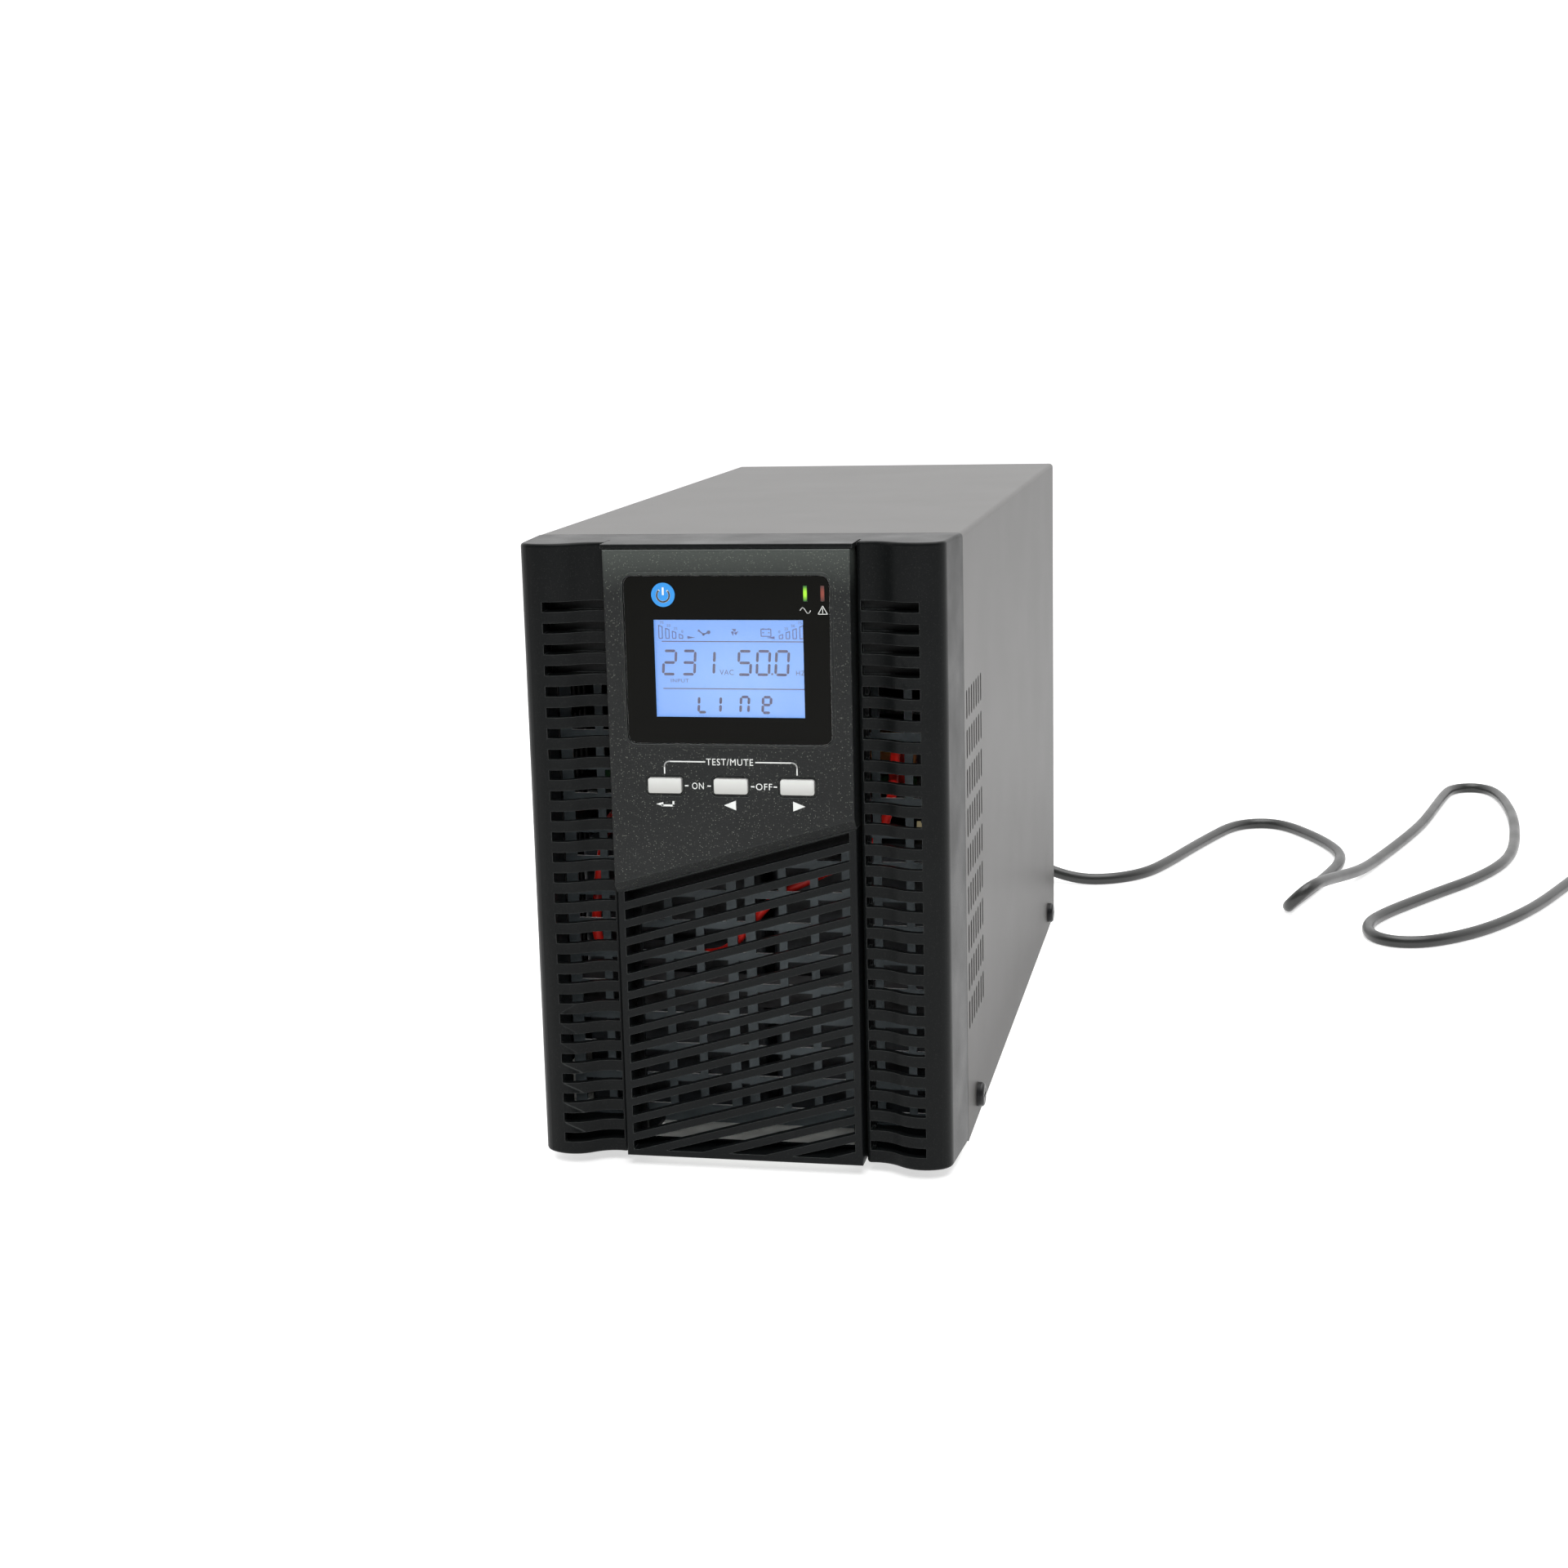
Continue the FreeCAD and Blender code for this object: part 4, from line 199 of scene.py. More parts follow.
@dataclass(frozen=True)
class Finish:
    """A moulded, painted or metal surface with clouding, grain, painted glints and highlights, and soft edges."""

    # Where each mask starts and where it is full: in a noise, in a cell or in the direction of the surface.
    NOISE_SPAN: ClassVar[Place] = (0.3, 0.7)
    GLINT_RIM: ClassVar[Place] = (0.18, 0.34)
    GLINT_CELLS: ClassVar[Place] = (0.72, 0.95)
    CORNER_SPAN: ClassVar[Place] = (0.80, 0.97)
    UPWARD_SPAN: ClassVar[Place] = (0.6, 0.9)
    DUST_SPAN: ClassVar[Place] = (0.5, 0.8)
    DUST_COLOUR: ClassVar[Colour] = (0.45, 0.43, 0.4)
    # Shares of the cloud size for dust and smears, and of the grain size for the depth of the grain.
    DUST_SPREAD: ClassVar[float] = 1.7
    SMEAR_SPREAD: ClassVar[float] = 0.6
    GRAIN_DEPTH: ClassVar[float] = 0.5

    name: str
    colour: Colour
    roughness: float = 0.5
    metallic: float = 0.0
    specular: float = 0.5
    clouding: float = 0.12
    cloud_size: float = 30 * MM
    grain_size: float = 0.6 * MM
    grain: float = 0.15
    grain_stretch: Triple | None = None
    painted_glints: float = 0.0
    glint_size: float = 0.5 * MM
    glint_colour: Colour = (0.5, 0.5, 0.45)
    edge: float = 0.0
    edge_highlight: Colour | None = None
    upward_highlight_and_cap: Colour | None = None
    dust: float = 0.0
    smear: float = 0.13
    top_highlight: Place | None = None
    top_highlight_colour: Colour = (0.0, 0.0, 0.0)
    insert: tuple[float, float, float, float] | None = None
    insert_colour: Colour = (0.012, 0.012, 0.013)

    def make(self) -> bpy.types.Material:
        """Build the material.

        Returns:
            The material, ready for a slot.
        """
        sheet = Sheet(self.name)
        sheet.set(Metallic=self.metallic, Specular_IOR_Level=self.specular)
        colour = self.clouds(sheet)
        # Painted highlight: bright specks in the colour stand in for glints of the grain.
        if self.painted_glints:
            colour = sheet.blend(self.glint_mask(sheet), colour, solid(self.glint_colour))
        # Painted highlight: the rounded outer corners are lighter.
        if self.edge_highlight:
            colour = sheet.blend(self.corner_mask(sheet), colour, solid(self.edge_highlight))
        # Painted highlight on the faces that point up; on the capacitor sleeve it is the bare top's own colour.
        if self.upward_highlight_and_cap:
            factor = sheet.rise(sheet.split(sheet.facing)[2], self.UPWARD_SPAN)
            colour = sheet.blend(factor, colour, solid(self.upward_highlight_and_cap))
        if self.dust:
            colour = sheet.blend(self.dust_mask(sheet), colour, solid(self.DUST_COLOUR))
        if self.insert:
            metal = sheet.maths("SUBTRACT", 1.0, self.insert_mask(sheet))
            colour = sheet.blend(metal, solid(self.insert_colour), colour)
            sheet.join(sheet.maths("MULTIPLY", metal, self.metallic), "Metallic")
        sheet.join(colour, "Base Color")
        smear = sheet.noise(1 / (self.cloud_size * self.SMEAR_SPREAD), 4.0)
        smooth, rough = self.roughness * (1 - self.smear), self.roughness * (1 + self.smear)
        sheet.join(sheet.ramp(smear, *self.NOISE_SPAN, smooth, rough), "Roughness")
        sheet.join(self.relief(sheet), "Normal")
        return sheet.material

    def clouds(self, sheet: Sheet) -> bpy.types.NodeSocket:
        """Vary the colour slowly over the surface, with a painted highlight towards the top where one is set.

        Args:
            sheet: The material to add to.

        Returns:
            The colour.
        """
        dark = tuple(c * (1 - self.clouding) for c in self.colour)
        light = tuple(c * (1 + self.clouding) for c in self.colour)
        factor = sheet.rise(sheet.noise(1 / self.cloud_size, 3.0), self.NOISE_SPAN)
        colour = sheet.blend(factor, solid(dark), solid(light))
        # Painted highlight: the colour turns to the lighter highlight colour towards the top.
        if self.top_highlight:
            height = sheet.split(sheet.place)[2]
            colour = sheet.blend(sheet.rise(height, self.top_highlight), colour, solid(self.top_highlight_colour))
        return colour

    def glint_mask(self, sheet: Sheet) -> bpy.types.NodeSocket:
        """Pick small specks in some of the cells of a fine cell pattern, as painted glints of the grain.

        Args:
            sheet: The material to add to.

        Returns:
            How much each place is a painted glint.
        """
        cells = sheet.add("ShaderNodeTexVoronoi", {"Vector": sheet.place, "Scale": 1 / self.glint_size})
        near = sheet.ramp(cells.outputs["Distance"], *self.GLINT_RIM, 1.0, 0.0)
        tone = sheet.add("ShaderNodeSeparateColor", {"Color": cells.outputs["Color"]}).outputs[0]
        chosen = sheet.ramp(tone, *self.GLINT_CELLS, 0.0, self.painted_glints)
        return sheet.maths("MULTIPLY", near, chosen)

    def corner_mask(self, sheet: Sheet) -> bpy.types.NodeSocket:
        """Find the outer corners, where a rounded normal leaves the flat one.

        Args:
            sheet: The material to add to.

        Returns:
            How much each place is a corner.
        """
        soft = sheet.rounded(self.edge)
        flat = sheet.add("ShaderNodeNewGeometry").outputs["True Normal"]
        agree = sheet.add("ShaderNodeVectorMath", {0: soft, 1: flat}, operation="DOT_PRODUCT").outputs["Value"]
        return sheet.ramp(agree, *self.CORNER_SPAN, 1.0, 0.0)

    def insert_mask(self, sheet: Sheet) -> bpy.types.NodeSocket:
        """Find the moulded insert of a socket, a rectangle in x and z.

        Args:
            sheet: The material to add to.

        Returns:
            1 inside the rectangle and 0 outside it.
        """
        centre_x, centre_z, half_x, half_z = self.insert
        x, _, z = sheet.split(sheet.place)
        inside = []
        for value, centre, half in ((x, centre_x, half_x), (z, centre_z, half_z)):
            off = sheet.maths("ABSOLUTE", sheet.maths("SUBTRACT", value, centre), 0.0)
            inside.append(sheet.maths("LESS_THAN", off, half))
        return sheet.maths("MULTIPLY", *inside)

    def dust_mask(self, sheet: Sheet) -> bpy.types.NodeSocket:
        """Spread a little dust where a coarse noise is high."""
        return sheet.ramp(sheet.noise(1 / (self.cloud_size * self.DUST_SPREAD), 6.0), *self.DUST_SPAN, 0.0, self.dust)

    def relief(self, sheet: Sheet) -> bpy.types.NodeSocket:
        """Give the grain of the surface and, where an edge size is set, its rounded corners.

        Args:
            sheet: The material to add to.

        Returns:
            The normal of the surface.
        """
        height = sheet.noise(1 / self.grain_size, 2.0, self.grain_stretch)
        depth = self.grain_size * self.GRAIN_DEPTH
        inputs: dict[str | int, object] = {"Height": height, "Strength": self.grain, "Distance": depth}
        if self.edge:
            inputs["Normal"] = sheet.rounded(self.edge)
        return sheet.add("ShaderNodeBump", inputs).outputs["Normal"]


@dataclass(frozen=True)
class SkinFinish(Finish):
    """Paint on the outside of a bent sheet, glossier towards its top, with painted shade on its inside faces and the
    walls of its slots.
    """

    half_width: float = 72 * MM
    bottom: float = 20 * MM
    top: float = 208 * MM
    fold: float = 1.6 * MM
    skin: Place = (0.3 * MM, 0.12 * MM)
    gloss: Place = (0.06, 0.42)
    # Painted shade: near black on the inside faces and the cut walls of the slots.
    inside: Colour = (0.006, 0.006, 0.006)

    def clouds(self, sheet: Sheet) -> bpy.types.NodeSocket:
        """Colour the paint and put painted shade on the inside faces and the walls of the slots.

        Args:
            sheet: The material to add to.

        Returns:
            The colour.
        """
        paint = super().clouds(sheet)
        x, _, z = sheet.split(sheet.place)
        width = sheet.maths("ABSOLUTE", x, 0.0)
        across = sheet.maths("MAXIMUM", sheet.maths("SUBTRACT", width, self.half_width - self.fold), 0.0)
        above = sheet.maths("MAXIMUM", sheet.maths("SUBTRACT", z, self.top - self.fold), 0.0)
        squares = sheet.maths("ADD", sheet.maths("MULTIPLY", across, across), sheet.maths("MULTIPLY", above, above))
        reach = sheet.maths("SQRT", squares, 0.0)
        outside = sheet.rise(reach, (self.fold - self.skin[0], self.fold - self.skin[1]))
        gloss = sheet.ramp(z, self.bottom, self.top, *self.gloss)
        sheet.join(sheet.maths("MULTIPLY", gloss, outside), "Specular IOR Level")
        return sheet.blend(outside, solid(self.inside), paint)


@dataclass(frozen=True)
class LitFinish:
    """A surface that gives its own light, a little uneven from the middle outwards."""

    GLOW_SPAN: ClassVar[Place] = (0.35, 1.25)
    DULLED: ClassVar[float] = 0.97

    name: str
    colour: Colour
    edge_colour: Colour
    strength: float
    centre: Triple
    reach: Place

    def make(self) -> bpy.types.Material:
        """Build the material.

        Returns:
            The material, ready for a slot.
        """
        sheet = Sheet(self.name)
        sheet.set(Roughness=0.25, Emission_Strength=self.strength)
        scale = (1 / self.reach[0], 0.0, 1 / self.reach[1])
        shift = tuple(-c * s for c, s in zip(self.centre, scale))
        place = sheet.add("ShaderNodeMapping", {"Vector": sheet.place, "Scale": scale, "Location": shift})
        glow = sheet.add("ShaderNodeVectorMath", {0: place.outputs["Vector"]}, operation="LENGTH").outputs["Value"]
        colour = sheet.blend(sheet.rise(glow, self.GLOW_SPAN), solid(self.colour), solid(self.edge_colour))
        sheet.join(colour, "Emission Color")
        sheet.join(sheet.blend(self.DULLED, colour, (0.0, 0.0, 0.0, 1.0)), "Base Color")
        return sheet.material


@dataclass(frozen=True)
class ClearFinish:
    """A clear moulded sheet with faint smears."""

    name: str
    colour: Colour = (0.93, 0.93, 0.92)

    def make(self) -> bpy.types.Material:
        """Build the material.

        Returns:
            The material, ready for a slot.
        """
        sheet = Sheet(self.name)
        sheet.set(Base_Color=solid(self.colour), Transmission_Weight=1.0, IOR=1.46, Specular_IOR_Level=0.25)
        sheet.join(sheet.ramp(sheet.noise(90.0, 5.0), 0.45, 0.75, 0.02, 0.07), "Roughness")
        return sheet.material


AnyFinish = Finish | LitFinish | ClearFinish


class Stock:
    """Makes each finish once, when it is first asked for."""

    def __init__(self) -> None:
        """Start with no materials."""
        self.made: dict[str, bpy.types.Material] = {}

    def get(self, finish: AnyFinish) -> bpy.types.Material:
        """Give the material of a finish.

        Args:
            finish: The finish.

        Returns:
            Its material, made once.
        """
        if finish.name not in self.made:
            self.made[finish.name] = finish.make()
        return self.made[finish.name]

    def dress(self, finish: AnyFinish, *nodes: str) -> None:
        """Put a finish on every material slot of some of the frame's nodes.

        Args:
            finish: The finish.
            nodes: Names of the nodes.
        """
        material = self.get(finish)
        for node in nodes:
            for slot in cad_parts[node].material_slots:
                slot.material = material
            LOG.info("%s: %s", node, finish.name)


# Painted highlights on the bezel and grille plastic: glint specks and lighter outer corners.
BEZEL = Finish("bezel_plastic", (0.0030, 0.0034, 0.0035), 0.34, specular=0.09, grain=0.22, grain_size=0.35 * MM,
               painted_glints=0.14, glint_size=0.35 * MM, glint_colour=(0.12, 0.12, 0.11), edge=0.35 * MM,
               edge_highlight=(0.04, 0.043, 0.042))
GRILLE = replace(BEZEL, name="grille_plastic", colour=(0.0034, 0.0039, 0.0041), roughness=0.36, specular=0.10,
                 grain=0.2, painted_glints=0.12, edge=0.3 * MM, edge_highlight=(0.055, 0.06, 0.058))
# Painted highlights on the panel plastic: glint specks, lighter corners and up-facing faces, and a lighter top rim.
PANEL = Finish("panel_plastic", (0.0065, 0.0072, 0.0072), 0.42, specular=0.2, grain=0.7, grain_size=0.42 * MM,
               painted_glints=0.9, glint_size=0.42 * MM, glint_colour=(0.16, 0.17, 0.145), edge=0.25 * MM,
               edge_highlight=(0.05, 0.055, 0.052), upward_highlight_and_cap=(0.06, 0.065, 0.062), top_highlight=(198 * MM, 211 * MM),
               top_highlight_colour=(0.030, 0.034, 0.031))
COVER = SkinFinish("cover_paint", (0.044, 0.042, 0.040), 0.42, specular=0.42, grain=0.18, grain_size=0.5 * MM,
                   clouding=0.02, cloud_size=60 * MM, edge=0.4 * MM, smear=0.02)
PAINT = Finish("rear_paint", (0.05, 0.05, 0.048), 0.42, specular=0.4, grain=0.22, grain_size=0.5 * MM,
               clouding=0.05, cloud_size=60 * MM, edge=0.4 * MM)
ZINC = Finish("zinc_steel", (0.33, 0.34, 0.33), 0.42, metallic=1.0, grain=0.1, grain_size=2 * MM, clouding=0.15,
              cloud_size=8 * MM)
# Painted highlight: the up-facing edges of the punched plate are near white.
PLATE = replace(ZINC, name="punched_plate", colour=(0.075, 0.09, 0.097), metallic=0.4, upward_highlight_and_cap=(0.9, 0.9, 0.88))
PAN = replace(ZINC, name="zinc_pan", colour=(0.62, 0.63, 0.60), roughness=0.45, metallic=0.4)
BLACK_SCREW = Finish("black_screw", (0.006, 0.006, 0.0065), 0.36, specular=0.3, grain=0.1)
NICKEL = Finish("nickel_plate", (0.62, 0.61, 0.58), 0.2, metallic=1.0, grain=0.05)
RUBBER = Finish("black_rubber", (0.016, 0.016, 0.017), 0.6, grain=0.2, grain_size=0.5 * MM, dust=0.05)
LEAD_SHEATH = Finish("lead_sheath", (0.014, 0.0145, 0.014), 0.34, specular=0.5, grain=0.12, grain_size=0.7 * MM,
                     clouding=0.2)
# Painted highlight: the buttons are lighter towards their top.
SILVER = Finish("button_silver", (0.20, 0.20, 0.185), 0.34, specular=0.5, grain=0.06, grain_size=0.3 * MM,
                clouding=0.03, edge=0.25 * MM, top_highlight_colour=(0.40, 0.405, 0.395))
WHITE_PRINT = Finish("white_print", (0.42, 0.43, 0.42), 0.45, grain=0.1, clouding=0.05)
MASK = Finish("window_mask", (0.0022, 0.0022, 0.0018), 0.16, specular=0.05, grain=0.02, clouding=0.1)
BOARD = Finish("circuit_board", (0.02, 0.09, 0.035), 0.35, grain=0.3, grain_size=2.5 * MM, clouding=0.3,
               cloud_size=6 * MM)
BLACK_PART = Finish("black_moulding", (0.018, 0.018, 0.019), 0.4, grain=0.15, grain_size=0.5 * MM)
SOCKET = Finish("socket_moulding", (0.015, 0.015, 0.016), 0.36, grain=0.15, grain_size=0.5 * MM, edge=0.3 * MM)
FERRITE = Finish("ferrite", (0.03, 0.03, 0.032), 0.62, grain=0.4, grain_size=0.8 * MM)
COPPER = Finish("copper_winding", (0.62, 0.26, 0.1), 0.34, metallic=0.8, grain=0.5, grain_size=1.1 * MM,
                grain_stretch=(1.0, 1.0, 0.06))
SLEEVE = Finish("capacitor_sleeve", (0.018, 0.022, 0.04), 0.3, grain=0.08, upward_highlight_and_cap=(0.55, 0.56, 0.57))
RELAY = Finish("relay_case", (0.02, 0.035, 0.09), 0.4, grain=0.12, grain_size=0.5 * MM)
BATTERY = Finish("battery_case", (0.012, 0.014, 0.016), 0.5, grain=0.2, grain_size=0.8 * MM)
BRASS = Finish("tinned_brass", (0.7, 0.6, 0.35), 0.3, metallic=1.0, grain=0.05)
RED_LEAD = Finish("red_insulation", (0.55, 0.015, 0.01), 0.4, grain=0.1, clouding=0.1)
BLACK_LEAD = Finish("black_insulation", (0.015, 0.015, 0.015), 0.4, grain=0.1)
ALUMINIUM = Finish("bare_aluminium", (0.72, 0.73, 0.74), 0.35, metallic=1.0, grain=0.15, grain_size=1 * MM,
                   grain_stretch=(1.0, 0.05, 1.0))
RIBBON = Finish("ribbon", (0.45, 0.45, 0.44), 0.5, grain=0.3, grain_size=1.3 * MM, grain_stretch=(1.0, 0.02, 0.02))
CLEAR = ClearFinish("clear_window")
SEGMENT = Finish("dark_segments", (0.03, 0.028, 0.13), 0.5, grain=0.02, clouding=0.1)
FAINT = replace(SEGMENT, name="faint_segments", colour=(0.04, 0.065, 0.27))
BADGE = Finish("badge_blue", (0.01, 0.15, 0.40), 0.4, grain=0.02, clouding=0.04)


# ------------------------------------------------------------------ shared mesh helpers


def new_piece(name: str, mesh: bmesh.types.BMesh, material: bpy.types.Material) -> bpy.types.Object:
    """Make an object on the housing from a finished mesh and give it its look.

    Args:
        name: Name of the piece.
        mesh: Its shape, in the frame's own place. It is used up.
        material: Its material.

    Returns:
        The new object.
    """
    bmesh.ops.recalc_face_normals(mesh, faces=mesh.faces)
    data = bpy.data.meshes.new(name)
    mesh.to_mesh(data)
    mesh.free()
    data.materials.append(material)
    piece = bpy.data.objects.new(name, data)
    bpy.context.scene.collection.objects.link(piece)
    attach(piece, HOUSING)
    LOG.info("%s: %d faces", name, len(data.polygons))
    return piece


def arc(centre: Place, radius: float, degrees: Iterable[float]) -> list[Place]:
    """Give places on a circle.

    Args:
        centre: Middle of the circle.
        radius: Its radius.
        degrees: Angle of each place.

    Returns:
        The places.
    """
    angles = [math.radians(d) for d in degrees]
    return [(centre[0] + radius * math.cos(a), centre[1] + radius * math.sin(a)) for a in angles]


class Art:
    """Flat artwork that faces the front: thin closed shapes on one plane."""

    SPACING: ClassVar[float] = 1.12

    def __init__(self, plane: float, thickness: float = 0.04 * MM) -> None:
        """Start with no shapes.

        Args:
            plane: The y of the surface that the artwork lies on.
            thickness: How far it stands in front of that surface.
        """
        self.plane = plane
        self.thickness = thickness
        self.mesh = bmesh.new()

    def stand(self, verts: list[bmesh.types.BMVert]) -> None:
        """Turn flat shapes that lie in x and y upright and put them on the plane.

        Args:
            verts: Corners of the flat shapes.
        """
        turn = Matrix.Translation((0, self.plane - self.thickness / 2, 0)) @ Matrix.Rotation(math.pi / 2, 4, "X")
        bmesh.ops.transform(self.mesh, matrix=turn, verts=verts)

    def bar(self, start: Place, end: Place, width: float, point: float = 0.0) -> None:
        """Add a straight bar.

        Args:
            start: Its start in x and z.
            end: Its end in x and z.
            width: Its width.
            point: How much of each end is cut to a point, as a share of the width.
        """
        a, b = Vector((*start, 0)), Vector((*end, 0))
        run = b - a
        made = bmesh.ops.create_cube(self.mesh, size=1.0)["verts"]
        upright = {e for v in made for e in v.link_edges if abs(e.verts[0].co.z - e.verts[1].co.z) > 0.5}
        size = Matrix.Diagonal((run.length, width, self.thickness, 1))
        bmesh.ops.transform(self.mesh, matrix=size, verts=made)
        if point:
            cut = bmesh.ops.bevel(self.mesh, geom=list(upright), offset=width * point, segments=1, **BEVEL)
            made = list({v for f in cut["faces"] for v in f.verts} | {v for v in made if v.is_valid})
        turn = Matrix.Rotation(math.atan2(run.y, run.x), 4, "Z")
        bmesh.ops.transform(self.mesh, matrix=Matrix.Translation((a + b) / 2) @ turn, verts=made)
        self.stand(made)

    def path(self, points: list[Place], width: float) -> None:
        """Add a line through points, with round joints.

        Args:
            points: Places in x and z.
            width: Width of the line.
        """
        for a, b in zip(points, points[1:]):
            self.bar(a, b, width)
        for x, z in points[1:-1]:
            self.disc((x, z), width / 2)

    def disc(self, centre: Place, radius: float, sides: int = 24, turn: float = 0.0) -> None:
        """Add a disc, or a regular shape of a few sides turned by an angle.

        Args:
            centre: Its middle in x and z.
            radius: Its radius.
            sides: Number of its sides.
            turn: Angle that it is turned by.
        """
        made = bmesh.ops.create_cone(self.mesh, cap_ends=True, segments=sides, radius1=radius, radius2=radius,
                                     depth=self.thickness)["verts"]
        place = Matrix.Translation((*centre, 0)) @ Matrix.Rotation(turn, 4, "Z")
        bmesh.ops.transform(self.mesh, matrix=place, verts=made)
        self.stand(made)

    def wedge(self, centre: Place, size: Place, turn: float) -> None:
        """Add a triangle whose tip points along an angle, with a length and a width.

        Args:
            centre: Its middle in x and z.
            size: Its length and its width.
            turn: Angle of its tip.
        """
        made = bmesh.ops.create_cone(self.mesh, cap_ends=True, segments=3, radius1=1, radius2=1,
                                     depth=self.thickness)["verts"]
        flat = Matrix.Rotation(-math.pi / 2, 4, "Z")
        shape = Matrix.Diagonal((size[0] / 1.5, size[1] / math.sqrt(3), 1, 1))
        place = Matrix.Translation((*centre, 0)) @ Matrix.Rotation(turn, 4, "Z") @ shape @ flat
        bmesh.ops.transform(self.mesh, matrix=place, verts=made)
        self.stand(made)

    def shape(self, points: list[Place]) -> None:
        """Add a flat shape with a straight-sided outline.

        Args:
            points: Its corners in x and z, in order.
        """
        corners = [self.mesh.verts.new((x, z, -self.thickness / 2)) for x, z in points]
        face = self.mesh.faces.new(corners)
        raised = bmesh.ops.extrude_face_region(self.mesh, geom=[face])["geom"]
        top = [item for item in raised if isinstance(item, bmesh.types.BMVert)]
        bmesh.ops.translate(self.mesh, vec=(0, 0, self.thickness), verts=top)
        self.stand(corners + top)

    def words(self, text: str, centre: Place, size: Place) -> None:
        """Add lettering that fills a width and a height round a centre.

        Args:
            text: The letters.
            centre: Their middle in x and z.
            size: Their width and height together.
        """
        curve = bpy.data.curves.new("lettering", "FONT")
        curve.body = text
        curve.align_x = "CENTER"
        curve.space_character = self.SPACING
        curve.extrude = self.thickness / 2
        curve.resolution_u = 3
        holder = bpy.data.objects.new("lettering", curve)
        data = bpy.data.meshes.new_from_object(holder)
        before = set(self.mesh.verts)
        self.mesh.from_mesh(data)
        made = [v for v in self.mesh.verts if v not in before]
        bmesh.ops.remove_doubles(self.mesh, verts=made, dist=CLOSE)
        made = [v for v in self.mesh.verts if v not in before]
        xs, ys = [v.co.x for v in made], [v.co.y for v in made]
        scale = Matrix.Diagonal((size[0] / (max(xs) - min(xs)), size[1] / (max(ys) - min(ys)), 1, 1))
        middle = Matrix.Translation((-(max(xs) + min(xs)) / 2, -(max(ys) + min(ys)) / 2, 0))
        bmesh.ops.transform(self.mesh, matrix=Matrix.Translation((*centre, 0)) @ scale @ middle, verts=made)
        self.stand(made)
        bpy.data.objects.remove(holder)
        bpy.data.curves.remove(curve)
        bpy.data.meshes.remove(data)

    def finish(self, name: str, material: bpy.types.Material, slot: str) -> bpy.types.Object:
        """Turn the artwork into a piece on the housing.

        Args:
            name: Name of the piece.
            material: Its material.
            slot: Not used.

        Returns:
            The piece.
        """
        return new_piece(name, self.mesh, material)


# ------------------------------------------------------------------ front


class Segment(Enum):
    """Strokes of a seven-segment figure, each from one corner to another on a grid of two columns and three rows."""

    TOP = ((0, 2), (1, 2))
    MIDDLE = ((0, 1), (1, 1))
    BOTTOM = ((0, 0), (1, 0))
    UPPER_LEFT = ((0, 1), (0, 2))
    UPPER_RIGHT = ((1, 1), (1, 2))
    LOWER_LEFT = ((0, 0), (0, 1))
    LOWER_RIGHT = ((1, 0), (1, 1))


S = Segment
FIGURES = {
    "0": (S.TOP, S.BOTTOM, S.UPPER_LEFT, S.UPPER_RIGHT, S.LOWER_LEFT, S.LOWER_RIGHT),
    "1": (S.UPPER_RIGHT, S.LOWER_RIGHT),
    "2": (S.TOP, S.UPPER_RIGHT, S.MIDDLE, S.LOWER_LEFT, S.BOTTOM),
    "3": (S.TOP, S.UPPER_RIGHT, S.MIDDLE, S.LOWER_RIGHT, S.BOTTOM),
    "5": (S.TOP, S.UPPER_LEFT, S.MIDDLE, S.LOWER_RIGHT, S.BOTTOM),
    "L": (S.UPPER_LEFT, S.LOWER_LEFT, S.BOTTOM),
    "I": (S.UPPER_LEFT, S.LOWER_LEFT),
    "n": (S.TOP, S.UPPER_LEFT, S.UPPER_RIGHT, S.LOWER_LEFT, S.LOWER_RIGHT),
    "e": (S.TOP, S.UPPER_LEFT, S.UPPER_RIGHT, S.MIDDLE, S.LOWER_LEFT, S.BOTTOM),
}


